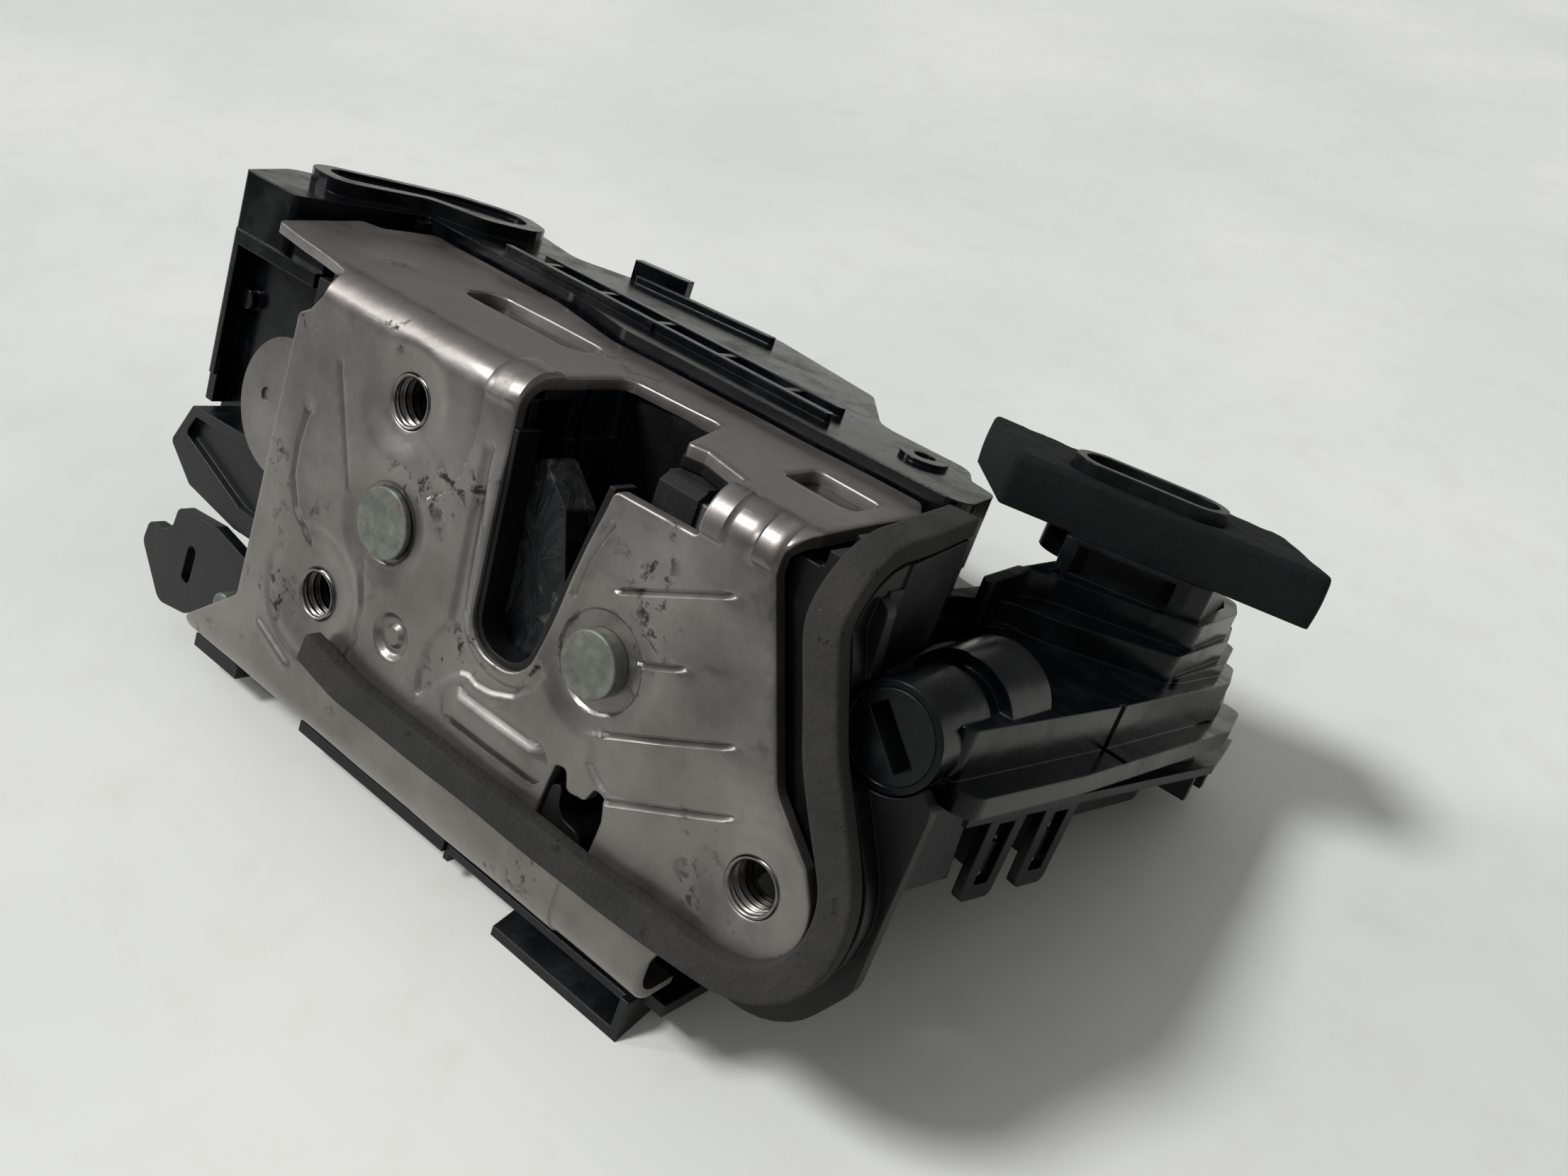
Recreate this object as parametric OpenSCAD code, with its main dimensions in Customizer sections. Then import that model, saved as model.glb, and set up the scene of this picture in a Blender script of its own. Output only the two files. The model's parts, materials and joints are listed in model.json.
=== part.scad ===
// Car door lock: a stamped latch plate with its claw and pawl on one leg, and a flat moulded
// drive housing with motor, levers and connector on the other leg.
// The lock is drawn in its own frame: X runs along the fold of the plate, Y goes into the lock,
// Z rises to the flange, and the first screw hole lies at zero. lay_down() then tips it on to the bench.

/* [Latch plate] */
// Thickness of the plate steel
plate_t = 1.8; // [1.4:0.1:2.2]
// Height of the folded flange above the first screw hole
flange_rise = 12; // [11.5:0.25:13]
// Depth of the flange behind the striker mouth
flange_depth = 35; // [33:0.5:40]
// Depth of the plate below the first screw hole
plate_drop = 58; // [56:0.5:62]
// Distance from the first to the far screw hole along the fold
hole_pitch = 76.5; // [74:0.5:80]
// Core diameter of the screw threads
thread_core = 6.8; // [6:0.1:7.2]
// Depth of the threaded collars
collar_depth = 6; // [4.5:0.25:6.5]

/* [Latch mechanism] */
// Thickness of the claw
claw_t = 6; // [4.5:0.25:6.5]
// Reach of the claw arm from its rivet
claw_reach = 31; // [28:0.5:31.5]
// Width of the claw notch that holds the striker
notch_w = 11; // [9:0.5:12]
// Diameter of the claw rivet in the claw
claw_pin_d = 8; // [6:0.5:9]
// Diameter of the pawl rivet in the pawl
pawl_pin_d = 6.5; // [5:0.5:7.5]
// Running clearance between a bore and its pin, on the radius
pin_gap = 0.08; // [0.05:0.01:0.1]
// Gap left between faces that slide past each other
slide_gap = 0.4; // [0.3:0.05:0.5]

/* [Drive housing] */
// Height of the drive housing roof above the first screw hole
roof_z = 14; // [13:0.25:16]
// Depth of the parting line below the first screw hole
parting_z = 22; // [20:0.5:24]
// Depth of the drive cover foot below the first screw hole
foot_z = 33; // [31:0.5:36]
// Wall thickness of the mouldings
wall = 2; // [1.6:0.1:2.4]
// Teeth of the worm wheel
wheel_teeth = 32; // [28:1:34]
// Diameter of the motor can
motor_d = 20; // [17:0.5:21]
// Thickness of the connector seal pad
pad_t = 8.7; // [7:0.1:10]
// Diameter of the key rotor
rotor_d = 11.4; // [10:0.2:12]

/* [Hidden] */
$fn = 64;
fine = 6;

boss_d = 13.4;

// Places along the fold and the height, as [x, z]
hole_a = [0, 0];
hole_b = [-9.7, -35.4];
hole_c = [hole_pitch, -31];
claw_at = [1.9, -17.8];
pawl_at = [45.2, -16.8];
rotor_at = [85, -4.9];
button_at = [8.8, -32.6];

// Layers of the latch leg, from the plate face inwards
fold_r = 5;
lip_r = 6;
reinforce_t = 1.2;
reinforce_y = plate_t;
frame_y = reinforce_y + reinforce_t;
web_t = 1.4;
liner_t = 1;
claw_y = frame_y + web_t + slide_gap;
tray_floor_y = claw_y + claw_t + slide_gap;
back_y = tray_floor_y + 2;
back_t = 1.5;
cover_y = back_y + back_t;
leg_end_y = flange_depth - 1;
under_flange = flange_rise - plate_t;
frame_low = -plate_drop + lip_r;
frame_left = -26.5;
frame_right = 64;

// Rest on the bench: the two front feet and the far edge of the drive cover
foot_front = [9, -71];
foot_far = [104, -foot_z];
rest_tilt = atan2(foot_far[1] - foot_front[1], foot_far[0] - foot_front[0]);
skirt_z = -plate_drop - 6;
heel_y = foot_front[0] + (skirt_z - foot_front[1]) / tan(rest_tilt);
rest_drop = foot_front[0] * sin(rest_tilt) - foot_front[1] * cos(rest_tilt);
centre_x = 17.29;
centre_y = 37.89;

// Rounding at the mouth of each screw hole
lip_round = 0.5;

// Unit vector of v
function unit(v) = v / norm(v);

// Arc that rounds corner b between its neighbours a and c, where b is [x, y, radius]
function fillet(a, b, c) =
    let (p = [b[0], b[1]], u = unit([a[0], a[1]] - p), w = unit([c[0], c[1]] - p),
         half = acos(max(-1, min(1, u * w))) / 2, r = b[2],
         middle = p + unit(u + w) * r / sin(half),
         first = p + u * r / tan(half) - middle, last = p + w * r / tan(half) - middle,
         start = atan2(first[1], first[0]), turn = atan2(last[1], last[0]) - start,
         sweep = turn > 180 ? turn - 360 : turn < -180 ? turn + 360 : turn)
    [for (i = [0:fine]) middle + r * [cos(start + sweep * i / fine), sin(start + sweep * i / fine)]];

// Outline with each corner [x, y, radius] rounded; a corner without a radius stays sharp
function rounded(corners) =
    let (n = len(corners))
    [for (i = [0:n - 1])
        for (p = len(corners[i]) > 2 && corners[i][2] > 0
            ? fillet(corners[(i + n - 1) % n], corners[i], corners[(i + 1) % n])
            : [[corners[i][0], corners[i][1]]])
        p];

function polar(r, a) = [r * cos(a), r * sin(a)];

// Turns an outline drawn as [x, z] into a slab from depth y to y + t
module slab(y, t) {
    translate([0, y + t, 0]) rotate([90, 0, 0]) linear_extrude(t) children();
}

// Cylinder along Y whose face lies at depth y
module rod(at, y, t, d) {
    translate([at[0], y + t, at[1]]) rotate([90, 0, 0]) cylinder(d = d, h = t);
}

// Bar with round ends from p to q
module bar2d(p, q, w) {
    d = q - p;
    translate(p) rotate(atan2(d[1], d[0])) {
        translate([0, -w / 2]) square([norm(d), w]);
        circle(d = w);
        translate([norm(d), 0]) circle(d = w);
    }
}

module ring2d(d_out, d_in) {
    difference() {
        circle(d = d_out);
        circle(d = d_in);
    }
}

// Puts the lock on the bench, with the bench at zero
module lay_down() {
    translate([-centre_x, -centre_y, rest_drop]) rotate([-rest_tilt, 0, 0]) children();
}

// Latch plate

// Section of the bent sheet as [y, z]: lip, face, fold and flange
function sheet_section() =
    let (t = plate_t, deep = flange_depth + 8, low = -plate_drop)
    concat(
        [[10, low]],
        [for (i = [0:fine]) [lip_r, low + lip_r] + polar(lip_r, 270 - 90 * i / fine)],
        [for (i = [0:fine]) [fold_r, flange_rise - fold_r] + polar(fold_r, 180 - 90 * i / fine)],
        [[deep, flange_rise], [deep, flange_rise - t]],
        [for (i = [0:fine]) [fold_r, flange_rise - fold_r] + polar(fold_r - t, 90 + 90 * i / fine)],
        [for (i = [0:fine]) [lip_r, low + lip_r] + polar(lip_r - t, 180 + 90 * i / fine)],
        [[10, low + t]]
    );

// Outline of the plate face below the fold, with a round lobe at the far screw hole
module face2d(grow = 0) {
    polygon(rounded([
        [-21, 10], [-21.2, 7.6, 1], [-23.4, 4.8, 1.4], [-25.8, 3.4, 1], [-26, -14, 8], [-26.4, -43.8, 1.5],
        [-38.6, -54, 3], [-39, -70],
        [66, -70], [66.5, -50, 3], [hole_c[0] - 7, hole_c[1] - 11.8, 5], [hole_c[0], hole_c[1] - 9.6],
        [hole_c[0] + 2, hole_c[1] + 3], [hole_c[0] + 6.4, hole_c[1] + 7.2], [75.7, -17.5, 6], [65.6, 6, 2], [65, 9]
    ]));
    translate(hole_c) circle(r = 9 + grow);
}

// Outline of the flange, as [x, y]
function flange_outline() = rounded([
    [-21, -1], [-21, 2.6, 0.8], [-44, 7.2, 2], [-51.2, 28.2, 1.5], [-47.6, 29.8, 1], [-47.8, flange_depth + 7, 2],
    [-40, flange_depth + 6.5, 3], [-14, flange_depth + 5, 10], [4, flange_depth, 10],
    [63, flange_depth, 2], [66, 30, 3], [67.5, 4, 1], [65.5, -1]
]);

// Slot that the striker enters, on the plate face; grow widens it all round
module slot2d(grow = 0) {
    polygon(rounded([
        [19.4 - grow, 20], [23.4 - grow, -25.7 - grow, 5.6 + grow], [34.8 + grow, -25.7 - grow, 5.6 + grow],
        [39.6 + grow, 4.4, 1], [40.8 + grow, 20]
    ]));
}

// The part of the mouth that is cut out of the flange and the fold
module mouth2d() {
    polygon(rounded([
        [20.4, -2], [19.4, 21.5, 2.5], [36.5, 23, 2], [41.5, 9], [44.5, 10, 0.6], [54.5, 7, 1.5], [56, -2]
    ]));
}

// Drawn collar of a screw hole
module collar_solid(at) {
    translate([at[0], 0, at[1]]) rotate([-90, 0, 0]) rotate_extrude()
        polygon([[thread_core / 2, 1], [thread_core / 2, collar_depth], [thread_core / 2 + 1.4, collar_depth],
                 [thread_core / 2 + 2, plate_t + 1], [thread_core / 2 + 4, plate_t - 0.4],
                 [thread_core / 2 + 4, 0.4]]);
}

// Bore of a screw hole with the rounded lip of its mouth
module collar_cut(at) {
    translate([at[0], 0, at[1]]) rotate([-90, 0, 0]) {
        translate([0, 0, -1]) cylinder(d = thread_core, h = collar_depth + 2);
        rotate_extrude() polygon(concat(
            [[0, -1], [thread_core / 2 + lip_round, -1], [thread_core / 2 + lip_round, 0]],
            [for (i = [1:fine]) [thread_core / 2 + lip_round, lip_round] + polar(lip_round, 270 - 90 * i / fine)],
            [[0, lip_round]]));
    }
}

// Raised bead pressed out of the sheet, open on its back
module bead(p, q, w, h) {
    slab(-h, h + 0.2) bar2d(p, q, w);
}

module bead_back(p, q, w, h) {
    slab(plate_t - h, h + 1) bar2d(p, q, w - 1.4);
}

// Groove pressed into the face
module groove(p, q, w, depth) {
    slab(-1, 1 + depth) bar2d(p, q, w);
}

face_beads = [[[24.6, -35.4], [39.4, -35.2], 4.6, 0.7], [[-19.6, -45.6], [-11.6, -48.6], 2.6, 0.5]];
face_grooves = [
    [[-14.4, 0], [-7.1, -16.2]], [[46, -6.4], [62.6, 1.7]], [[51.4, -13.7], [59.3, -9.8]],
    [[50.2, -25.1], [69.4, -15.3]], [[53.2, -33.4], [72.6, -23.2]], [[17.6, 1.2], [21.8, -18.2]],
    [[41, 0.6], [38.6, -10.6]]
];

module latch_plate() {
    color("#7d7872") difference() {
        union() {
            intersection() {
                translate([-60, 0, 0]) rotate([90, 0, 90]) linear_extrude(170) polygon(sheet_section());
                union() {
                    slab(-2, 14) face2d();
                    translate([0, 0, flange_rise - fold_r]) linear_extrude(10) polygon(flange_outline());
                }
            }
            for (at = [hole_a, hole_b, hole_c]) collar_solid(at);
            for (b = face_beads) bead(b[0], b[1], b[2], b[3]);
            // Raised rim round the foot of the slot
            slab(-0.4, 0.6) intersection() {
                slot2d(2.6);
                translate([0, -40]) square([60, 41]);
            }
            // Round button drawn up from the face
            rod(button_at, -1, 1.2, 5.6);
        }
        slab(-3, 12) slot2d();
        translate([0, 0, 5.2]) linear_extrude(20) mouth2d();
        for (at = [hole_a, hole_b, hole_c]) collar_cut(at);
        for (b = face_beads) bead_back(b[0], b[1], b[2], b[3]);
        for (g = face_grooves) groove(g[0], g[1], 0.9, 0.5);
        // Curved grooves on both sides of the second screw hole
        slab(-1, 1.5) intersection() {
            translate([-4, -15]) ring2d(32, 30.4);
            polygon([for (a = [162, 200, 238]) [-4, -15] + polar(40, a), [-4, -15]]);
        }
        slab(-1, 1.5) intersection() {
            translate([-10.2, -34.8]) ring2d(23.8, 22.2);
            polygon([[-10, -34.8], [6, -24], [8, -36], [3, -44]]);
        }
        // Coined seats of the two rivets
        rod(claw_at, -1, 1.5, 11.4);
        rod(pawl_at, -1, 1.8, 14);
        rod(claw_at, -1, 5, claw_pin_d + 0.02);
        rod(pawl_at, -1, 5, pawl_pin_d + 0.02);
        rod(button_at, -2, 1.6, 3.2);
        // Two windows in the flange
        translate([0, 0, flange_rise - 4]) linear_extrude(8) {
            polygon(rounded([[-15.8, 19.8, 3.4], [9.8, 19.8, 3.4], [9.4, 28.6, 3.4], [-16.2, 28.2, 3.4]]));
            polygon(rounded([[51.8, 16.6, 1.4], [63.2, 16.4, 1.4], [62.6, 25, 1.4], [51.2, 25.8, 1.4]]));
        }
        // Notch over the hook of the frame
        slab(-2, 6) polygon(rounded([[43.8, -33.2, 0.6], [45.6, -32.7, 0.8], [46.6, -35.6, 1], [50, -35, 1],
            [51, -32.6, 0.8], [52.8, -32.8, 0.8], [53.4, -36, 2], [52.6, -46, 1], [42.6, -46, 1], [43.4, -36, 1]]));
    }
}

module reinforcement2d() {
    polygon(rounded([[-25, -30, 3], [-25, 4, 2], [62.5, 4, 2], [71.5, -17, 4], [66, -47, 3], [-22, -47, 3]]));
}

// Reinforcement behind the plate, whose round ear shows at the left
module reinforcement_plate() {
    color("#84807a") difference() {
        union() {
            rod([-26.5, -12.5], reinforce_y, reinforce_t, 22);
            slab(reinforce_y, reinforce_t) reinforcement2d();
        }
        slab(reinforce_y - 1, reinforce_t + 2) {
            slot2d(2.6);
            for (at = [hole_a, hole_b]) translate(at) circle(d = thread_core + 9);
            translate(hole_c) circle(d = thread_core + 9);
            translate(claw_at) circle(d = claw_pin_d + 0.02);
            translate(pawl_at) circle(d = pawl_pin_d + 0.02);
            polygon(rounded([[42, -32, 2], [54.4, -31, 2], [55.4, -48, 1], [41.4, -48, 1]]));
        }
        rod([-31.5, -12], reinforce_y - 0.2, 0.6, 2.4);
    }
}

// Centre line of the seal: [x, z] with its corner radii
seal_path = [[-6, -41.6], [4, -43.4, 14], [58, -43, 40], [89.8, -41, 14], [89.2, -23.5, 12], [80.6, -9.5, 10],
    [74.8, 4.5]];
seal_w = 5;
seal_t = 3;
seal_bend_r = 8;
seal_top_at = [74.8, 8, 4.5];

// Open path with its inner corners rounded
function smooth_path(c) = let (n = len(c)) [for (i = [0:n - 1])
    for (p = i == 0 || i == n - 1 ? [c[i]] : fillet(c[i - 1], c[i], c[i + 1])) p];

// Strip of width w along an open path
function strip(path, w) =
    let (n = len(path),
         side = [for (i = [0:n - 1])
            let (d = unit(path[min(n - 1, i + 1)] - path[max(0, i - 1)])) [-d[1], d[0]] * w / 2])
    concat([for (i = [0:n - 1]) path[i] + side[i]], [for (i = [n - 1:-1:0]) path[i] - side[i]]);

// Quarter turn of a flat band about X, from facing forward to facing up
module band_bend(x, w, r_in, r_out) {
    translate([x - w / 2, seal_top_at[1], seal_top_at[2]]) rotate([0, 90, 0]) rotate([0, 0, 180])
        rotate_extrude(angle = 90) translate([r_in, 0]) square([r_out - r_in, w]);
}

module foam_gasket() {
    outer = seal_bend_r + seal_t;
    top_z = seal_top_at[2] + seal_bend_r;
    color("#2b2c2f") union() {
        slab(-seal_t, seal_t) polygon(strip(smooth_path(seal_path), seal_w));
        band_bend(seal_top_at[0], seal_w, seal_bend_r, outer);
        translate([0, 0, top_z]) linear_extrude(seal_t)
            polygon([[72.6, 8], [77.6, 8], [74.5, 27.8], [69, 30.6]]);
    }
}

// Plastic tray behind the plate, with the seal carrier and the rotor collar
module latch_frame() {
    depth = back_y - frame_y;
    inner = 1.6;
    top = under_flange;
    color("#191a1c") difference() {
        union() {
            slab(frame_y, depth) polygon(rounded([[frame_left, frame_low, 2], [frame_left, top, 1],
                [frame_right, top, 1], [71.5, -17, 4], [71.5, -42, 3], [frame_right, frame_low, 3]]));
            // Seal carrier round the right side
            slab(frame_y, 2) polygon(rounded([[frame_right - 2, -47.8], [86, -47.8, 13], [92.8, -36, 5],
                [93, -10, 3], [80, -1, 3], [79, 9, 2], [frame_right - 2, 9]]));
            slab(0, frame_y + 1) polygon(strip(smooth_path([[frame_right, -42.6], seal_path[3], seal_path[4],
                seal_path[5], seal_path[6]]), seal_w));
            band_bend(seal_top_at[0], seal_w, seal_bend_r - 3, seal_bend_r);
            // Flank and shelf under the top strip of the seal
            translate([75.8, 5, -6]) cube([1.8, 3.2, seal_top_at[2] + seal_bend_r - 3 + 6]);
            translate([0, 0, -6]) linear_extrude(seal_top_at[2] + seal_bend_r + 6)
                polygon([[75.8, 8], [77.6, 8], [74.5, 27.8], [72.7, 27.8]]);
            translate([0, 0, seal_top_at[2] + seal_bend_r - 2]) linear_extrude(2)
                polygon([[69.5, 8], [77.6, 8], [74.5, 27.8], [69.5, 30.4]]);
            translate([69.5, frame_y, -44]) cube([1.8, 27.4, 55]);
            // Lug that holds the pin of the outer release lever
            slab(release_y + release_t + slide_gap, 2.2)
                polygon([[frame_left + 1, -43], [-36, -45], [-36, -53.5], [frame_left + 1, -51.5]]);
        }
        // Mechanism space
        slab(frame_y + web_t, tray_floor_y - frame_y - web_t) polygon(rounded([[-24.9, -50.2, 3],
            [-24.9, top - inner, 3], [62, top - inner, 3], [69, -17, 4], [69, -41, 3], [62, -50.2, 3]]));
        slab(frame_y - 1, web_t + 2) polygon(rounded([[-22, -46, 3], [-22, 3.5, 3], [60.8, 3.5, 3], [66, -17, 4],
            [66, -40, 3], [60, -46, 3]]));
        // Room for the fold, the lip and the lobe of the plate, and for the reinforcement
        translate([-40, frame_y - 1, under_flange - 1.5]) cube([109, 3.4, 5]);
        slab(-1, plate_t + 1.2) face2d(0.2);
        slab(-1, frame_y + 1) reinforcement2d();
        for (at = [hole_a, hole_b]) rod(at, 0, collar_depth + slide_gap, thread_core + 9);
        rod(hole_c, -1, 18, thread_core + 9);
        // Striker path, and the rivets
        slab(frame_y - 1, depth + 2) slot2d(0.4);
        translate([0, 0, 3]) linear_extrude(20) mouth2d();
        rod(claw_at, 0, 20, claw_pin_d + 0.02);
        rod(pawl_at, 0, 20, pawl_pin_d + 0.02);
        rod(rotor_at, -1, 20, boss_d + 0.6);
        rod(release_at, 0, 20, release_pin_d + 0.02);
    }
    // Hook that shows through the notch of the plate
    color("#191a1c") slab(0.4, tray_floor_y - 0.2) difference() {
        polygon(rounded([[43.2, -45.4, 1], [44, -36, 1], [45.6, -35.4, 0.6], [46.2, -39.6, 2.5], [50.8, -40, 2],
            [52, -45.4, 1]]));
        translate([48.2, -43]) circle(d = 2.2);
    }
}

// Black rim that covers the cut edges of the striker slot
module slot_liner() {
    color("#101113") union() {
        slab(0.3, frame_y + web_t - 0.3) difference() {
            intersection() {
                slot2d(-0.01);
                translate([0, -40]) square([60, 45]);
            }
            slot2d(-liner_t);
        }
        slab(plate_t, frame_y + web_t - plate_t) difference() {
            intersection() {
                slot2d(2.5);
                translate([0, -40]) square([60, 43.4]);
            }
            slot2d(-liner_t);
        }
    }
}

module back_plate() {
    color("#77736d") difference() {
        slab(back_y, back_t) difference() {
            polygon(rounded([[-24, -47, 4], [-24, 6, 4], [60, 6, 4], [66, -17, 5], [60, -47, 4]]));
            slot2d(3.4);
            translate([18, -2]) square([24, 20]);
            translate(claw_at) circle(d = claw_pin_d + 0.02);
            translate(pawl_at) circle(d = pawl_pin_d + 0.02);
            for (at = [hole_a, hole_b]) translate(at) circle(d = thread_core + 3);
        }
    }
}

// Closed moulding over the back of the latch leg, with the striker channel inside
module latch_cover() {
    depth = leg_end_y - cover_y;
    color("#1b1c1e") difference() {
        union() {
            slab(cover_y, depth) polygon(rounded([[frame_left, frame_low, 2], [frame_left, under_flange, 1],
                [69.3, under_flange, 1], [69.3, frame_low, 3]]));
            // Skirt under the lip of the plate; its back edge rests on the bench
            translate([-38, 11, skirt_z]) cube([104, heel_y - 11, wall]);
            for (x = [-24, 2, 28, 54]) translate([x, cover_y, skirt_z])
                cube([wall, heel_y - cover_y, frame_low - skirt_z + 1]);
            translate([-46.4, 9, skirt_z - 1.4]) cube([12.6, 3, 2.4]);
            translate([-16, 9.4, skirt_z - 1.3]) cube([37, 2.6, 2]);
            // Lugs of the inner release lever
            for (z = [inner_z - slide_gap - 2.4, inner_z + inner_t + slide_gap]) translate([0, 0, z])
                linear_extrude(2.4) bar2d(inner_at, [frame_left + 1, inner_at[1]], 9);
        }
        difference() {
            slab(cover_y - 1, depth + 1 - wall) polygon(rounded([[frame_left + wall, frame_low + wall, 2],
                [frame_left + wall, under_flange - wall, 1], [69.3 - wall, under_flange - wall, 1],
                [69.3 - wall, frame_low + wall, 3]]));
            slab(cover_y - 2, 12.5) union() {
                slot2d(2.4);
                translate([17.8, 2]) square([24.4, 9]);
            }
        }
        slab(cover_y - 3, 11) slot2d(0.4);
        translate([0, 0, 3]) linear_extrude(20) mouth2d();
        for (at = [hole_a, hole_b]) rod(at, cover_y - 1, 14, thread_core + 3);
        rod(claw_at, cover_y - 1, 3, claw_pin_d + 4);
        rod(pawl_at, cover_y - 1, 3, pawl_pin_d + 4);
        translate([inner_at[0], inner_at[1], inner_z - 10]) cylinder(d = inner_pin_d + 0.02, h = 20);
    }
}

// Claw, pawl, their rivets and springs

claw_notch_a = 54;

module claw2d() {
    difference() {
        union() {
            circle(d = 21);
            polygon(rounded([[0, 0], concat(polar(claw_reach, -26), 5), concat(polar(claw_reach + 1, 4), 3),
                concat(polar(claw_reach, 28), 2), concat(polar(claw_reach - 2, 42), 1.5),
                concat(polar(22, 50), 2), concat(polar(26, 64), 2), concat(polar(25.5, 75), 2),
                concat(polar(10.2, 76), 1)]));
        }
        bar2d(polar(15.5, claw_notch_a), polar(44, claw_notch_a), notch_w);
        circle(d = claw_pin_d + 2 * pin_gap);
    }
}

module claw() {
    color("#1d1f24") slab(claw_y, claw_t) translate(claw_at) claw2d();
}

// Rivet along Y with a head on the plate and a closed end behind the back plate
module rivet(at, d, head_d, head_t, seat) {
    color("#8c918c") union() {
        rod(at, seat - head_t, head_t, head_d);
        rod(at, seat - 0.01, cover_y - seat + 0.01, d);
        rod(at, cover_y, 1.4, d + 2.6);
    }
}

module claw_rivet() {
    rivet(claw_at, claw_pin_d, 10.6, 0.9, 0.5);
}

module pawl_rivet() {
    rivet(pawl_at, pawl_pin_d, 9.2, 2.6, 0.8);
}

// Round wire of diameter w swept through the points by a chain of rings
module wire(path, w, sides = 8) {
    n = len(path);
    function heading(i) = unit(path[min(n - 1, i + 1)] - path[max(0, i - 1)]);
    function across(i) = let (h = heading(i), s = abs(h[1]) < 0.9 ? [0, 1, 0] : [1, 0, 0]) unit(cross(h, s));
    rings = [for (i = [0:n - 1]) let (h = heading(i), a = across(i), b = cross(h, a))
        for (k = [0:sides - 1]) path[i] + (a * cos(360 * k / sides) + b * sin(360 * k / sides)) * w / 2];
    sides_f = [for (i = [0:n - 2]) for (k = [0:sides - 1]) let (m = (k + 1) % sides)
        for (f = [[i * sides + k, (i + 1) * sides + m, i * sides + m],
                  [i * sides + k, (i + 1) * sides + k, (i + 1) * sides + m]]) f];
    polyhedron(rings, concat(sides_f, [[for (k = [0:sides - 1]) k]],
        [[for (k = [sides - 1:-1:0]) (n - 1) * sides + k]]));
}

// Torsion spring about Y: turns of wire with a leg out of each end
function torsion_path(at, y, r, w, turns, a0, leg) =
    let (steps = turns * 16, pitch = w * 1.08,
         coil = [for (i = [0:steps]) let (a = a0 + 360 * i / 16)
            [at[0] + r * cos(a), y + w / 2 + pitch * i / 16, at[1] + r * sin(a)]],
         a1 = a0 + 360 * turns)
    concat([[at[0] + r * cos(a0) + leg * sin(a0), y + w / 2, at[1] + r * sin(a0) - leg * cos(a0)]], coil,
        [[at[0] + r * cos(a1) - leg * sin(a1), y + w / 2 + pitch * turns, at[1] + r * sin(a1) + leg * cos(a1)]]);

module claw_spring() {
    color("#9aa0a0") wire(torsion_path(claw_at, cover_y + slide_gap, 6.6, 1.1, 3.25, 200, 9), 1.1);
}

module pawl2d() {
    difference() {
        union() {
            circle(d = 15);
            polygon(rounded([[-2, 6.5], [-9.6, -1.5, 1.5], [-11.6, -4.2, 0.5], [-11, -8.2, 1.5], [-3, -7.4],
                [3, -3]]));
            polygon(rounded([[2, -7], [9, -21, 2.5], [14.6, -19, 2.5], [7, 0]]));
        }
        circle(d = pawl_pin_d + 2 * pin_gap);
    }
}

module pawl() {
    color("#26282d") slab(claw_y, claw_t) translate(pawl_at) pawl2d();
}

module pawl_spring() {
    color("#9aa0a0") wire(torsion_path(pawl_at, cover_y + slide_gap, 5.4, 0.9, 3.25, -70, 7), 0.9);
}

// Rubber block that stops the striker, and the steel insert in it
module striker_bumper() {
    color("#17181a") difference() {
        translate([41.6, frame_y + 2.6, -4.6]) cube([14.8, tray_floor_y - frame_y - 2.6, 13]);
        slab(0, 30) slot2d(0.4);
        translate([48.4, frame_y + 2, 1.4]) cube([4.6, 4.4, 8]);
        translate([40, frame_y + 1.6, 6.4]) rotate([35, 0, 0]) cube([20, 3, 6]);
    }
}

module bumper_insert() {
    color("#8b8a86") translate([48.4, frame_y + 3.2, 1.4]) cube([4.6, 3.2, 5.4]);
}

module claw_switch() {
    color("#2a2522") union() {
        translate([-22.5, tray_floor_y - 5, -24]) cube([8.6, 5, 12]);
        rod([-13.6, -18], tray_floor_y - 4, 3, 2.4);
    }
}

module pawl_switch() {
    color("#2a2522") union() {
        translate([64.2, tray_floor_y - 5, -33]) cube([4.4, 5, 12]);
        rod([65, -26], tray_floor_y - 4, 3, 2.4);
    }
}

// Drive housing

// Outline whose edges all move inwards by w; corners run anticlockwise and keep their radii
function inset(c, w) = let (n = len(c)) [for (i = [0:n - 1])
    let (b = [c[i][0], c[i][1]], a = c[(i + n - 1) % n], d = c[(i + 1) % n],
         e = unit(b - [a[0], a[1]]), f = unit([d[0], d[1]] - b),
         n1 = [-e[1], e[0]], n2 = [-f[1], f[0]], m = unit(n1 + n2), p = b + m * w / (m * n1))
    [p[0], p[1], len(c[i]) > 2 ? max(0.3, c[i][2] - w) : 0]];

// Outlines of the housing at its levels, as [x, y] with corner radii
panel_a = [86.3, 27];
panel_b = [100, 90];
body_low = [[-67.2, 15.8, 1], [-44, 15.8], [-44, leg_end_y], [72, leg_end_y], [72, panel_a[1]], concat(panel_a, 1),
    concat(panel_b, 3), [97, 103, 4], [70, 104, 5], [66, 82, 4], [52, 82, 4], [44, 100, 6], [-40, 101, 12],
    [-68, 76, 10], [-71, 40, 4]];
body_high = [[-67.2, 15.8, 1], [-44, 15.8], [-44, leg_end_y], [68, leg_end_y], [66.5, 49, 3], [50, 58, 4], [46, 88, 4],
    [40, 98, 6], [-40, 99, 12], [-68, 76, 10], [-71, 40, 4]];
roof = [[-67, 16, 1], [-53, 16, 1], [-53, flange_depth + 8.6, 1], [-39, flange_depth + 8, 3],
    [-13, flange_depth + 6.5, 10], [4, flange_depth + 1.2, 8], [68.8, flange_depth + 1.2, 3], [67, 48.5, 3],
    [41, 57, 5], [30, 72, 4], [4, 79.5, 4], [-20, 77, 4], [-37, 66, 6], [-54, 71.5, 8], [-66, 61, 8], [-73.5, 29, 5]];
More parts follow.
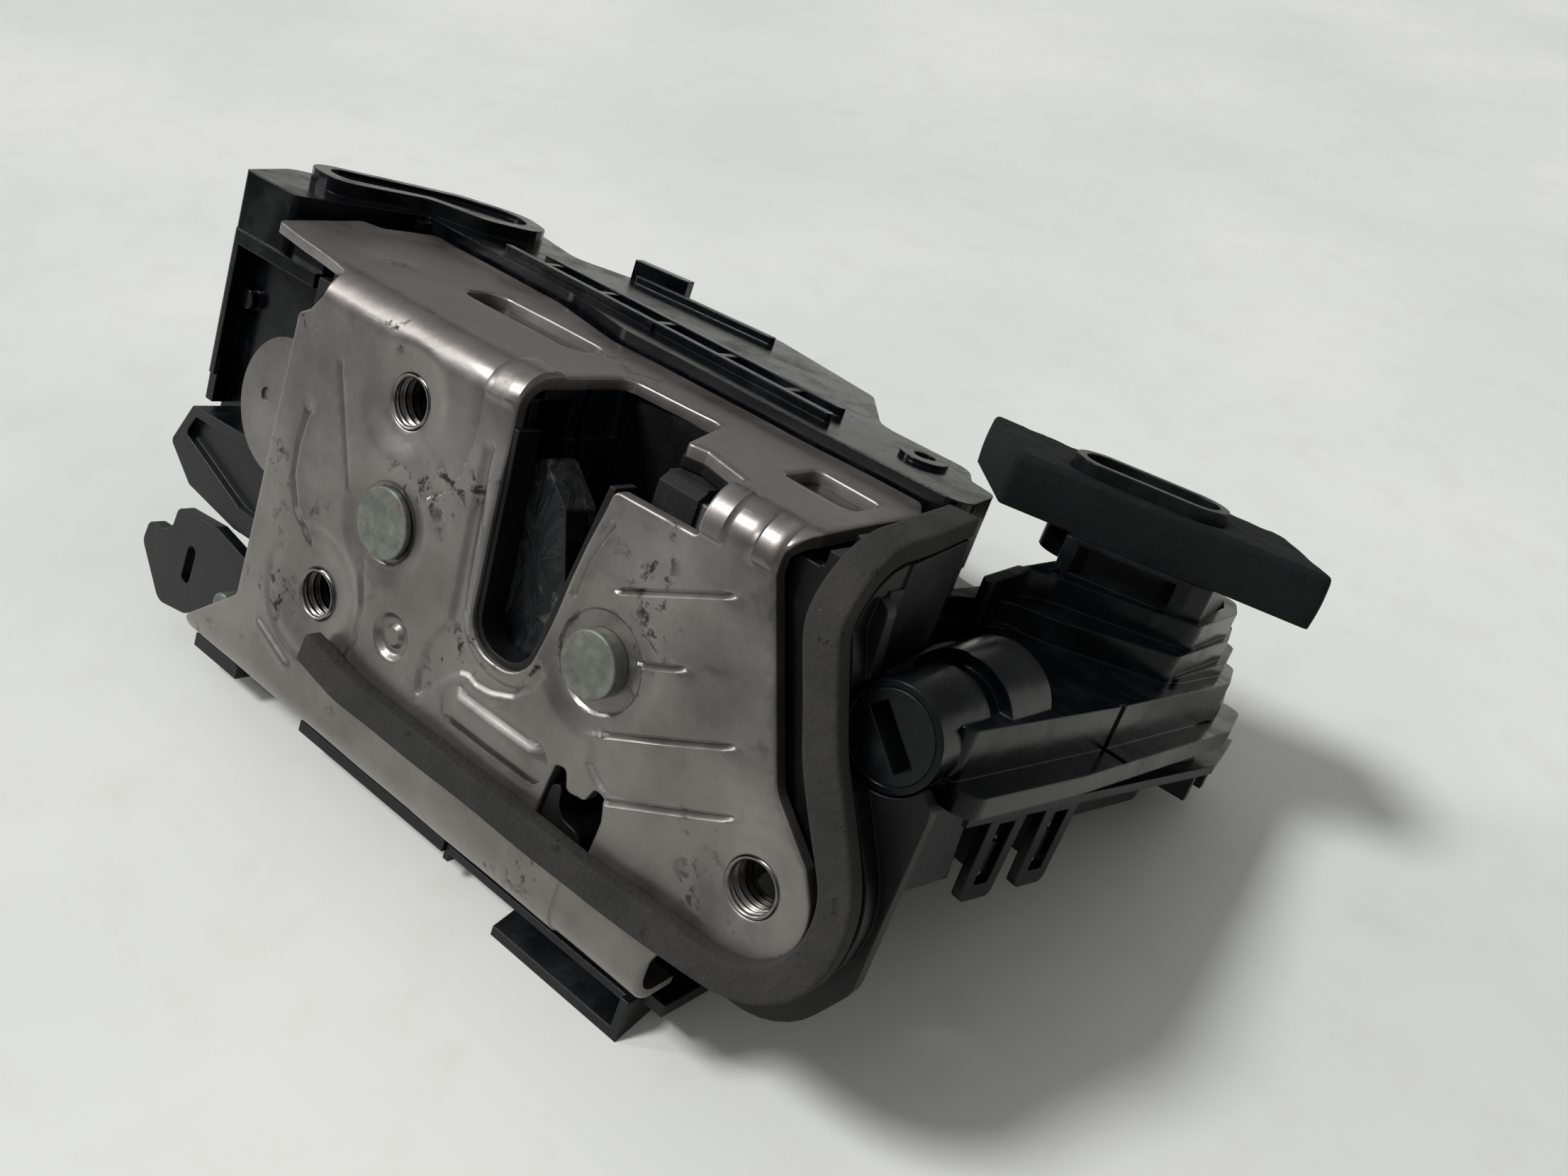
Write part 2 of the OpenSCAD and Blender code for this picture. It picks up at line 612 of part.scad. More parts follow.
ledge_low = [[66, 37], [69, 40, 2], [79.5, 60.4, 4], [87, 67.4, 4], [96, 70, 3], [97.6, 90, 3], [95.5, 101.5, 3],
    [71, 102.5, 3], [66.5, 82, 3], [64, 60, 3]];
ledge_high = [[66.5, 38], [68.5, 41, 2], [74, 53, 3], [80.4, 55.5, 3], [88.6, 62.5, 4], [95.4, 68, 3], [96.4, 90, 3],
    [94, 100, 3], [72, 101, 3], [69.5, 60, 3]];
pan = [[71, 55.4, 1], [75.5, 61.6, 3], [89, 69.6, 5], [95, 74, 4], [95.4, 92, 3], [93, 99, 3], [73, 99.6, 3]];
tray_z = -10;
rotor_end = 29.5;
ledge_low_z = -3.5;
ledge_high_z = 0;
high_step = 4;
pan_depth = 1.2;
pan_rim = 2.2;

// Deck beside the rotor boss, which slopes down to the back, and the sill along its foot
deck = [[75.2, 28.6], [78.4, 9.6], [92.1, 7.4, 1.5], [96.5, 47, 30], [100, 88, 3], [97, 101, 4], [74, 101]];
sill = [[80, 12], [89.6, 7.2, 1], [95.8, 6.8, 3], [99.2, 34, 40], [103.4, 88, 3], [101, 102, 3], [80, 102]];
deck_z = -1.2;
deck_fall = 3.3;
sill_z = -8;
sill_t = 3;

// Side of the lower body at depth y along the panel
function panel_x(y) = panel_a[0] + (y - panel_a[1]) * (panel_b[0] - panel_a[0]) / (panel_b[1] - panel_a[1]);
panel_turn = atan2(panel_b[0] - panel_a[0], panel_b[1] - panel_a[1]);

// Prism from height z0 to z1 over an outline with corner radii
module level(z0, z1, outline) {
    translate([0, 0, z0]) linear_extrude(z1 - z0) polygon(rounded(outline));
}

// Layer over an outline whose top falls to the back, t deep and no lower than foot
module sloped(outline, z, t, foot) {
    intersection() {
        level(foot, z + 1, outline);
        translate([60, deck[1][1], z]) rotate([-deck_fall, 0, 0]) translate([0, -20, -t]) cube([60, 130, t]);
    }
}

// Places its children on the face of the panel at depth y
module at_panel(y) {
    translate([panel_x(y), y, -parting_z]) rotate([0, 0, -panel_turn]) children();
}

// Loops that hang from the rim; each snaps over a wedge of the cover
loop_spots = [34.5, 47];
loop_w = 8.2;
loop_leg = 2.4;

module snap_loop() {
    w = loop_w;
    translate([0.8, 0, 0]) rotate([90, 0, 90]) linear_extrude(1.6) difference() {
        polygon(rounded([[0, 2], [0.6, -14, 1.2], [w - 0.6, -14, 1.2], [w, 2]]));
        polygon(rounded([[loop_leg - 0.2, -1], [loop_leg, -11.4, 0.6], [w - loop_leg, -11.4, 0.6],
            [w - loop_leg + 0.2, -1]]));
    }
}

module roof_ribs() {
    for (r = [[[-34, 46], [40, 42.5]], [[-30, 52], [38, 49]], [[-24, 70], [6, 73]]])
        translate([0, 0, roof_z - 0.6]) linear_extrude(2) bar2d(r[0], r[1], 1.5);
    for (x = [-26, -12, 2, 16, 30]) translate([x, 43 + (x < 0 ? 2 : 0), roof_z - 0.6]) cube([1.4, 8, 1.8]);
}

module drive_housing() {
    z0 = -parting_z;
    color("#1a1b1d") difference() {
        union() {
            level(z0, tray_z, body_low);
            level(tray_z - 1, high_step, body_high);
            level(tray_z - 1, ledge_low_z, ledge_low);
            level(tray_z - 1, ledge_high_z, ledge_high);
            sloped(deck, deck_z, 20, tray_z - 2);
            sloped(sill, sill_z, sill_t, -parting_z);
            level(tray_z - 1, high_step, pan);
            level(high_step - 1, roof_z, roof);
            // Rib that leads from the pan to the front
            translate([0, 0, ledge_low_z]) linear_extrude(high_step - ledge_low_z) bar2d([72.4, 45], [71.7, 57.5], 2);
            // Block under the lobe of the flange
            translate([0, 0, high_step - 1]) linear_extrude(under_flange - high_step + 1)
                polygon([[-53.2, 17], [-44, 17], [-44, leg_end_y], [4, leg_end_y], [4, 36.5], [-13, 42],
                    [-39, 43.2], [-53.2, 43.8]]);
            // Rim of the parting line
            translate([0, 0, z0]) linear_extrude(1.6) polygon([[85.2, 27.6], [89.4, 27.6], [103, 92],
                [101, 108], [96, 108], [60, 105], [60, 84], [86, 84]]);
            // Pan on the roof, and the corner boss
            translate([0, 0, roof_z - 1]) linear_extrude(3.6) polygon(rounded([[-70.5, 27, 6], [-63.5, 59, 8],
                [-54, 68, 7], [-40, 63, 7], [-45, 50, 6], [-55, 45, 4], [-57, 27, 4]]));
            translate([54.5, 48, roof_z - 1]) linear_extrude(1.7) ring2d(7.6, 3.4);
            translate([-30, 74.5, high_step]) rotate([0, 0, 11]) cube([12, 2.4, roof_z - high_step + 3]);
            roof_ribs();
            // Stepped boss of the key rotor
            rod(rotor_at, 3, 12, boss_d);
            rod(rotor_at, 14, rotor_end - 14, boss_d - 1);
            rod(rotor_at, 18, rotor_end - 18, boss_d + 2.6);
            for (y = loop_spots) at_panel(y) snap_loop();
            // Gusset under the rotor
            translate([87.4, 0, 0]) rotate([90, 0, 90]) linear_extrude(1.6)
                polygon([[5.4, -13], [28, -13], [28, -22], [30, -31], [9, -27], [5.4, -20]]);
            translate([82.6, 5.4, -15.4]) cube([6.4, 22.6, 3]);
        }
        // Hollow inside
        level(z0 - 1, tray_z - wall, inset(body_low, wall));
        level(z0 - 1, high_step - wall, inset(body_high, wall));
        level(z0 - 1, ledge_high_z - 0.6, inset(pan, wall));
        intersection() {
            level(0, roof_z - wall, inset(roof, wall));
            level(0, roof_z - wall, inset(body_high, wall));
        }
        intersection() {
            sloped(inset(deck, wall), deck_z - wall, 20, tray_z - wall - 1);
            translate([0, rotor_end + 3, tray_z - 4]) cube([120, 120, 20]);
        }
        // Floor of the pan behind its rim
        level(high_step - pan_depth, high_step + 1, inset(pan, pan_rim));
        // Recess in the pan of the roof
        translate([0, 0, roof_z + 1.6]) linear_extrude(3) polygon(rounded([[-68, 30, 4], [-61.5, 57, 6],
            [-54, 65, 5], [-44, 61, 5], [-48, 52, 4], [-57, 47, 3], [-60, 30, 3]]));
        // Pocket at the left front
        translate([-65.2, 15, z0 - 1]) cube([34, 5, 24.6]);
        // Groove across the panel, and the recess under it
        translate([96, 46, sill_z - 3]) rotate([0, 0, -panel_turn / 2]) cube([4, 1.6, 12]);
        translate([panel_x(25) - 1.2, 25, -20]) rotate([0, 0, -panel_turn]) cube([3, 80, 3]);
        // Bore of the key rotor
        rod(rotor_at, 2, 14, rotor_d + 2 * pin_gap);
    }
    // Wall behind the pocket, its cap, and the rail beside it
    color("#1a1b1d") union() {
        translate([-66.4, 19.2, -29]) cube([24, 2, 32.6]);
        translate([-66.4, 16.4, 1.6]) cube([22, 4, 2]);
        translate([-66.8, 16.2, -27]) cube([2, 4, 8]);
        rod([-62.8, -7.1], 17.6, 2, 3.4);
    }
    // Pillars for the cover screws, each up to the ceiling above it
    color("#1a1b1d") for (i = [0:len(screw_spots) - 1])
        translate([screw_spots[i][0], screw_spots[i][1], wall - foot_z]) difference() {
            cylinder(d = 7, h = foot_z - wall + pillar_tops[i]);
            translate([0, 0, -1]) cylinder(d = screw_d + 0.02, h = 12);
        }
}

// Cover that closes the housing from below, with wedges for the snap loops
module drive_cover() {
    top = -parting_z;
    depth = foot_z - parting_z;
    base = [[-64, 38, 3], [-40, 35.5, 2], [74, 35.5, 2], [84, 40, 3], [93.5, 92, 5], [92, 104, 5], [60, 104, 8],
        [-38, 98, 10], [-63, 74, 8]];
    color("#1e1f21") difference() {
        union() {
            translate([0, 0, -foot_z]) linear_extrude(depth) polygon(rounded(base));
            translate([0, 0, top - 1.6]) linear_extrude(1.6) polygon(rounded(concat([[-66, 36, 2]], [[72, 35.5],
                [86, 35.5, 1], [97, 98, 3], [97, 105.5, 3], [60, 105.5, 10], [-40, 100.5, 12], [-67.5, 76, 10]])));
            // Wedge in each snap loop, on a block of the wall
            for (y = loop_spots) at_panel(y) translate([-11, loop_leg + slide_gap, -10]) {
                cube([11.6, loop_w - 2 * loop_leg - 2 * slide_gap, 9]);
                cube([12.4, loop_w - 2 * loop_leg - 2 * slide_gap, 5]);
            }
            for (y = [94, 103]) translate([94, y, top - 7.4]) cube([6.6, 1.6, 6]);
        }
        translate([0, 0, wall - foot_z]) linear_extrude(depth) polygon(rounded(inset(base, wall)));
        for (at = screw_spots) translate([at[0], at[1], -foot_z - 1]) {
            cylinder(d = screw_d + 0.4, h = 10);
            cylinder(d = screw_head_d + 0.4, h = 1 + screw_head_t);
        }
    }
    // Saddles for the motor
    color("#1e1f21") for (x = [5, motor_len - 7]) translate([motor_at[0] + x, motor_at[1] - 8, wall - foot_z - 0.01])
        cube([2, 16, drive_z - motor_flat / 2 + foot_z - wall + 0.01]);
}

screw_spots = [[-55, 44], [62, 43.5], [84, 96], [-36, 91]];
pillar_tops = [roof_z - wall / 2, roof_z - wall / 2, ledge_high_z, high_step - wall / 2];
screw_d = 2.6;
screw_head_d = 5.4;
screw_head_t = 1.2;

// Screws that hold the cover
module cover_screws() {
    color("#6f7273") for (at = screw_spots) translate([at[0], at[1], -foot_z]) {
        cylinder(d = screw_head_d, h = screw_head_t);
        cylinder(d = screw_d, h = wall + 10);
    }
}

// Motor, worm and wheel
drive_z = -9;
motor_at = [-50.5, 58];
motor_len = 27;
worm_r = 4;
worm_len = 12;
shaft_free = 7.5;
worm_x = motor_at[0] + motor_len + shaft_free;
tooth_m = 1;
wheel_r = wheel_teeth * tooth_m / 2;
mesh_gap = 0.1;
wheel_at = [worm_x + worm_len / 2, motor_at[1] + worm_r + wheel_r + mesh_gap];
motor_flat = 15.2;
shaft_d = 2;
wheel_axle_d = 4;

module drive_motor() {
    color("#8d9090") translate([motor_at[0], motor_at[1], drive_z]) rotate([0, 90, 0]) union() {
        intersection() {
            cylinder(d = motor_d, h = motor_len);
            translate([-motor_flat / 2, -motor_d, 0]) cube([motor_flat, 2 * motor_d, motor_len]);
        }
        translate([0, 0, motor_len]) cylinder(d = 6, h = 1.6);
        translate([0, 0, motor_len]) cylinder(d = shaft_d, h = shaft_free + worm_len + 2);
    }
}

// Worm: a round core with one thread lobe, twisted along its length
module worm() {
    lead = PI * tooth_m;
    crest = 34;
    root = 86;
    core_r = worm_r - 1.4 * tooth_m;
    tip_r = worm_r + 0.4 * tooth_m;
    // Puts a gap of the wheel opposite the thread
    first = 90 - 360 * (worm_len / 2 + lead / 2) / lead;
    color("#d8d4c4") translate([worm_x, motor_at[1], drive_z]) rotate([0, 90, 0])
        linear_extrude(worm_len, twist = -360 * worm_len / lead, slices = 36, $fn = 8) rotate(first) difference() {
            polygon(concat([for (a = [-crest:crest:crest]) polar(tip_r, a)],
                [for (k = [0:5]) polar(core_r, root + (360 - 2 * root) * k / 5)]));
            circle(r = shaft_d / 2 + pin_gap, $fn = 10);
        }
}

module worm_wheel() {
    pitch_a = 360 / wheel_teeth;
    color("#d8d4c4") translate([wheel_at[0], wheel_at[1], drive_z - 2]) difference() {
        union() {
            linear_extrude(4) polygon([for (i = [0:wheel_teeth - 1])
                for (p = [[-0.3, 0.45], [-0.14, -0.65], [0.14, -0.65], [0.3, 0.45]])
                    polar(wheel_r - 0.35 - p[1] * tooth_m, 90 + (i + p[0]) * pitch_a)]);
            cylinder(d = 9, h = 7);
            translate([0, 0, 3.9]) linear_extrude(3) bar2d([0, 0], [11, 0], 5);
        }
        translate([0, 0, -1]) cylinder(d = wheel_axle_d + 2 * pin_gap, h = 10);
    }
}

module axle_post(at, d, foot, top) {
    translate([at[0], at[1], wall - foot_z]) cylinder(d = d, h = top + foot_z - wall);
    translate([at[0], at[1], wall - foot_z]) cylinder(d = d + 4, h = foot + foot_z - wall);
}

module wheel_axle() {
    color("#8c918c") axle_post(wheel_at, wheel_axle_d, drive_z - 2 - slide_gap, high_step - wall);
}

// Lever that the wheel's cam pushes to lock and unlock
lever_at = [32, 82];
lever_axle_d = 4;

module lock_lever() {
    color("#202226") translate([lever_at[0], lever_at[1], drive_z - 1]) difference() {
        linear_extrude(3) difference() {
            union() {
                circle(d = 11);
                bar2d([0, 0], [-18, 4], 6);
                bar2d([0, 0], [10, -22], 6);
            }
            translate([10, -22]) circle(d = 2.6);
        }
        translate([0, 0, -1]) cylinder(d = lever_axle_d + 2 * pin_gap, h = 6);
    }
}

module lever_axle() {
    color("#8c918c") axle_post(lever_at, lever_axle_d, drive_z - 1 - slide_gap, high_step - wall);
}

// Contact tracks from the motor to the connector
track_y = 46;

module track_plate() {
    color("#b08d57") translate([0, 0, wall - foot_z]) linear_extrude(1) difference() {
        union() {
            bar2d([-44, track_y], [50, track_y], 7);
            bar2d([50, track_y], [82, track_y + 38], 7);
        }
        for (k = [-1, 0, 1]) bar2d([-42, track_y + 1.9 * k], [47, track_y + 1.9 * k], 0.8);
    }
}

// Key rotor in its boss
module key_rotor() {
    color("#141517") difference() {
        rod(rotor_at, 3, 12, rotor_d);
        translate([rotor_at[0], 0, rotor_at[1]]) rotate([0, -45, 0]) translate([-1.3, 2, -4.2]) cube([2.6, 6, 8.4]);
    }
}

// Levers at the left of the latch leg
release_at = [-32, -49];
release_y = 8.4;
release_t = 2.2;
release_pin_d = 4;

module outer_release_lever() {
    color("#151618") slab(release_y, release_t) difference() {
        union() {
            polygon(rounded([[-33, -44.5, 2], [-46, -42.2, 2], [-57, -43.4, 2], [-58, -49, 3], [-64.5, -49.5, 2],
                [-65.5, -54, 2], [-58, -62.5, 3], [-50, -61, 3], [-41, -54.5, 2], [-33, -53.5, 2]]));
            translate(release_at) circle(d = 9.6);
        }
        bar2d([-51.6, -54.4], [-51.2, -49.6], 2.4);
        translate(release_at) circle(d = release_pin_d + 2 * pin_gap);
    }
}

module release_lever_pin() {
    color("#8c918c") rod(release_at, plate_t, release_y + release_t + slide_gap + 2.2 - plate_t, release_pin_d);
}

inner_at = [-35.5, 25];
inner_z = -12;
inner_t = 3;
inner_pin_d = 4;

// Cable lever that turns about a pin on the side of the latch cover
module inner_release_lever() {
    color("#202226") translate([inner_at[0], inner_at[1], inner_z]) linear_extrude(inner_t) difference() {
        union() {
            circle(d = 9);
            bar2d([0, 0], [0, -8], 5);
            bar2d([0, 0], [-4.6, 2], 5);
        }
        circle(d = inner_pin_d + 2 * pin_gap);
        translate([0, -8]) circle(d = 2);
    }
}

module inner_lever_pin() {
    color("#8c918c") translate([inner_at[0], inner_at[1], inner_z - slide_gap - 2.4])
        cylinder(d = inner_pin_d, h = inner_t + 2 * slide_gap + 4.8);
}

// Flap at the left, a ledge over a sloping wedge
module side_flap() {
    color("#17181a") union() {
        difference() {
            slab(10, 9.2) polygon(rounded([[-65, -34.3, 1], [-60.6, -25.9, 1], [-42.5, -24.9, 1], [frame_left, -30],
                [frame_left, -40.5], [-43.6, -41.4, 1], [-57.8, -39.6, 1]]));
            slab(9, 2.4) polygon(rounded([[-61.4, -31.4, 1], [-59.4, -27.6, 1], [-43.4, -26.8, 1], [-30, -31.4, 1],
                [-30, -37.4, 1], [-43.6, -37.4, 1]]));
        }
        translate([-57, 11.2, -40.4]) rotate([0, 8, 0]) cube([13.5, 4, 2]);
    }
}

// Rail and open bracket under the latch leg; the floor of the bracket lies flat on the bench
module bottom_rail() {
    y = foot_front[0];
    z = foot_front[1];
    floor_y = 9;
    rise = floor_y * tan(rest_tilt);
    color("#161719") union() {
        translate([35, 0, 0]) rotate([90, 0, 90]) linear_extrude(26.5)
            polygon([[y, z], [y + floor_y, z + rise], [y + floor_y, z + rise + 1.6], [y, z + 1.6]]);
        translate([60, 0, 0]) rotate([90, 0, 90]) linear_extrude(1.5)
            polygon([[y, z], [heel_y, skirt_z], [y, skirt_z]]);
        translate([35, y + floor_y - 1.4, z + rise]) cube([26.5, 1.4, skirt_z - z - rise]);
        translate([21, 10, skirt_z - 1.3]) cube([40.5, 4, 1.3]);
        translate([21, 10, skirt_z - 2.6]) cube([1.2, 2, 2]);
    }
}

// Connector tower, its contacts and its seal pad
pad_z = 9.3;
pad_outline = [[61, 65, 1], [108.5, 81, 1], [96, 96, 2], [46, 85, 1]];
collar_mid = [77.5, 79.5];
tower = [[72.4, 66, 1], [91.5, 73.4, 1], [94, 76, 1], [92.6, 93, 2], [73.4, 90, 2]];

module connector_shell() {
    color("#17181a") difference() {
        union() {
            level(high_step, pad_z, tower);
            intersection() {
                level(high_step - pan_depth, high_step + 1, tower);
                level(high_step - pan_depth, high_step + 1, inset(pan, pan_rim + 0.1));
            }
            translate([collar_mid[0], collar_mid[1], high_step]) rotate([0, 0, 15])
                linear_extrude(pad_z + pad_t + 1.8 - high_step) bar2d([-7, 0], [7, 0], 11);
        }
        translate([0, 0, high_step]) linear_extrude(pad_z - high_step - 0.8)
            polygon([[74.4, 64], [90, 70], [88.4, 77], [75.6, 71]]);
        translate([collar_mid[0], collar_mid[1], high_step + 2]) rotate([0, 0, 15])
            linear_extrude(30) bar2d([-7, 0], [7, 0], 8);
    }
}

module connector_pins() {
    color("#b9b7ae") translate([collar_mid[0], collar_mid[1], high_step + 2 - 0.01]) rotate([0, 0, 15])
        for (row = [-1, 1]) for (k = [-3:3])
            translate([k * 2.4 - 0.4, row * 1.8 - 0.4, 0]) cube([0.8, 0.8, 9]);
}

module connector_pad() {
    color("#26272a") translate([0, 0, pad_z]) linear_extrude(pad_t) difference() {
        polygon(rounded(pad_outline));
        translate(collar_mid) rotate(15) bar2d([-7, 0], [7, 0], 11);
    }
}

lay_down() latch_plate();
lay_down() reinforcement_plate();
lay_down() latch_frame();
lay_down() slot_liner();
lay_down() back_plate();
lay_down() latch_cover();
lay_down() claw();
lay_down() claw_rivet();
lay_down() claw_spring();
lay_down() pawl();
lay_down() pawl_rivet();
lay_down() pawl_spring();
lay_down() striker_bumper();
lay_down() bumper_insert();
lay_down() claw_switch();
lay_down() pawl_switch();
lay_down() foam_gasket();
lay_down() drive_housing();
lay_down() drive_cover();
lay_down() cover_screws();
lay_down() drive_motor();
lay_down() worm();
lay_down() worm_wheel();
lay_down() wheel_axle();
lay_down() lock_lever();
lay_down() lever_axle();
lay_down() track_plate();
lay_down() key_rotor();
lay_down() outer_release_lever();
lay_down() release_lever_pin();
lay_down() inner_release_lever();
lay_down() inner_lever_pin();
lay_down() side_flap();
lay_down() bottom_rail();
lay_down() connector_shell();
lay_down() connector_pins();
lay_down() connector_pad();
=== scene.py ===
# %% [markdown]
# # A car door lock on a pale bench
# The lock comes as a CAD frame: every rigid part is already there, in its place and at its size.
# This lesson adds what CAD leaves out: the fine relief of a pressed plate, real screw threads, soft
# foam, and finishes that look like pressed steel, zinc, greasy coating and moulded plastic.
# All lengths are metres in Blender, and mm(…) turns the millimetres of a drawing into them.

# %% Load the frame
import json
import math

import bpy
import numpy as np
from mathutils.geometry import delaunay_2d_cdt
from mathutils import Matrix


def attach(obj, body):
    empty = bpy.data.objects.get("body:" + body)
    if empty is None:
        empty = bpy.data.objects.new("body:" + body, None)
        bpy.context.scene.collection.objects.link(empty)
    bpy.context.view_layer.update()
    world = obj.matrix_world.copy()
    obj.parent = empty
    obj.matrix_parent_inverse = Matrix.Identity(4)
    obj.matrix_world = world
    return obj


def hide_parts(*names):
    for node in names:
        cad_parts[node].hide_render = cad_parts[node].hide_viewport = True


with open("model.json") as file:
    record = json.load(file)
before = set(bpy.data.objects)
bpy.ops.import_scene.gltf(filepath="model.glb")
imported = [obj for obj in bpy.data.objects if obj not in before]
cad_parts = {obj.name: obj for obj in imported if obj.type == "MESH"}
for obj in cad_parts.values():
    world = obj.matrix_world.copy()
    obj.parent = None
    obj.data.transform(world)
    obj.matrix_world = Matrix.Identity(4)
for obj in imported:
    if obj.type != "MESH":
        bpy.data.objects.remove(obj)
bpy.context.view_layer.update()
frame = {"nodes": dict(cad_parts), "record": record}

# %% [markdown]
# The plate of the lock is drawn flat, with X along its fold, Y into the lock and Z up to the flange.
# On the bench the lock leans back by one angle. One function takes drawing points to the bench, so
# each new piece can be drawn with the numbers of the plate itself.

# %% From the drawing to the bench
REST_TILT = math.atan(38 / 95)
CENTRE_X, CENTRE_Y, REST_DROP = 17.29, 37.89, 69.2644


def mm(value):
    return value * 0.001


def to_bench(points):
    """Turns drawing points (x, y, z) in mm by the rest angle about X, shifts them, and gives metres."""
    points = np.asarray(points, float)
    x, y, z = points[..., 0], points[..., 1], points[..., 2]
    c, s = math.cos(REST_TILT), math.sin(REST_TILT)
    return mm(np.stack([x - CENTRE_X, y * c + z * s - CENTRE_Y, REST_DROP - y * s + z * c], -1))


# %% [markdown]
# The camera looks down at the plate from the front right, as in the photograph. Its distance and lens
# were solved from the screw holes, so it keeps the same perspective.

# %% Camera
camera_data = bpy.data.cameras.new("photo_camera")
camera_data.sensor_width = 36
camera_data.lens = 1900 / 2212 * camera_data.sensor_width
camera_data.clip_end = 20
camera = bpy.data.objects.new("photo_camera", camera_data)
camera.location = (mm(121.222), mm(-133.739), mm(169.081))
camera.rotation_euler = [math.radians(a) for a in (51.7185, -5.2043, 40.2141)]
bpy.context.scene.collection.objects.link(camera)
bpy.context.scene.camera = camera
bpy.context.scene.view_settings.view_transform = "Standard"

# %% [markdown]
# Two windows light the lock, both from the left. The high, wide one is brighter and gives the soft dark
# shadow under the right side. The low, narrow one gives a long pale shadow with a clearer edge. The
# world fills the rest, and together they light the floor so that a colour shows nearly as written.

# %% Lamp and world
def window(name, travel, energy, softness):
    """A sun lamp whose light travels along the given direction; softness is its width in radians."""
    data = bpy.data.lights.new(name, "SUN")
    data.energy, data.angle = energy, softness
    lamp = bpy.data.objects.new(name, data)
    lamp.rotation_euler = (math.atan2(math.hypot(travel[0], travel[1]), -travel[2]), 0,
                           math.atan2(-travel[0], travel[1]))
    bpy.context.scene.collection.objects.link(lamp)


window("front_window", (0.42, 0.40, -0.81), 2.6, 0.22)
window("side_window", (0.83, 0.36, -0.42), 0.7, 0.10)

world = bpy.data.worlds.new("soft_room")
bpy.context.scene.world = world
world.use_nodes = True

# %% [markdown]
# Materials are small node trees. One function adds a node with its settings and links, and one
# function turns a written colour into the linear numbers that Blender calculates with.

# %% Helpers for materials
def linear(code):
    """sRGB hex colour to linear: each channel through the standard curve, with alpha one."""
    channels = [int(code[i : i + 2], 16) / 255 for i in (1, 3, 5)]
    return [c / 12.92 if c <= 0.04045 else ((c + 0.055) / 1.055) ** 2.4 for c in channels] + [1.0]


def add(tree, kind, inputs=None, **settings):
    """Adds one node; inputs maps a socket name or number to a value or to another node's output."""
    node = tree.nodes.new(kind)
    for name, value in settings.items():
        setattr(node, name, value)
    for name, value in (inputs or {}).items():
        if isinstance(value, bpy.types.NodeSocket):
            tree.links.new(value, node.inputs[name])
        else:
            node.inputs[name].default_value = value
    return node


def ramp(tree, factor, *stops):
    """A colour ramp node through (position, hex colour) stops."""
    node = add(tree, "ShaderNodeValToRGB", {"Fac": factor})
    elements = node.color_ramp.elements
    while len(elements) < len(stops):
        elements.new(0.5)
    for element, (position, code) in zip(elements, stops):
        element.position = position
        element.color = linear(code)
    return node.outputs["Color"]


def per_mm(period):
    """Scale of a noise or Voronoi texture whose pattern repeats about every so many mm."""
    return 1000 / period


def start(name, **shader):
    """A new material with its Principled shader set, and the object's own coordinates."""
    material = bpy.data.materials.new(name)
    material.use_nodes = True
    tree = material.node_tree
    surface = tree.nodes["Principled BSDF"]
    for socket, value in shader.items():
        surface.inputs[socket.replace("_", " ")].default_value = value
    place = add(tree, "ShaderNodeTexCoord").outputs["Object"]
    return material, tree, surface, place


def noise(tree, place, period, detail=3.0, **inputs):
    """Noise with a real period in mm."""
    settings = {"Vector": place, "Scale": per_mm(period), "Detail": detail}
    settings.update({k.capitalize(): v for k, v in inputs.items()})
    return add(tree, "ShaderNodeTexNoise", settings).outputs["Fac"]


def spread(tree, value, low, high, to_low=0.0, to_high=1.0):
    """Stretches a value from low…high to to_low…to_high and clamps it."""
    return add(
        tree, "ShaderNodeMapRange",
        {"Value": value, "From Min": low, "From Max": high, "To Min": to_low, "To Max": to_high},
    ).outputs["Result"]


def mix(tree, factor, first, second):
    """Mixes two colours."""
    node = add(tree, "ShaderNodeMix", data_type="RGBA")
    for socket, value in ((0, factor), (6, first), (7, second)):
        if isinstance(value, bpy.types.NodeSocket):
            tree.links.new(value, node.inputs[socket])
        else:
            node.inputs[socket].default_value = value
    return node.outputs[2]


def bump(tree, surface, *layers, edge=0.0):
    """Bump nodes one on the other, each layer a (height, depth in mm) pair, over edges softened by mm."""
    normal = None
    if edge:
        normal = add(tree, "ShaderNodeBevel", {"Radius": mm(edge)}, samples=4).outputs["Normal"]
    for height, depth in layers:
        inputs = {"Height": height, "Distance": mm(depth), "Strength": 1.0}
        if normal is not None:
            inputs["Normal"] = normal
        normal = add(tree, "ShaderNodeBump", inputs).outputs["Normal"]
    tree.links.new(normal, surface.inputs["Normal"])


# %% [markdown]
# The room is plain: a pale ceiling and darker walls. Metal and glossy plastic show what they face, so
# this slow change from wall to ceiling is what gives their faces and edges different greys.

# %% World finish
sky = world.node_tree
toward = add(sky, "ShaderNodeTexCoord").outputs["Generated"]
height = add(sky, "ShaderNodeSeparateXYZ", {0: toward}).outputs["Z"]
room = ramp(sky, height, (0.0, "#666666"), (0.30, "#8c8c8c"), (0.75, "#f2f2f2"))
sky.links.new(room, sky.nodes["Background"].inputs["Color"])
sky.nodes["Background"].inputs["Strength"].default_value = 0.62

# %% [markdown]
# The bench is painted board: pale, matt, with faint stains. It is staged, so it isn't part of the lock.

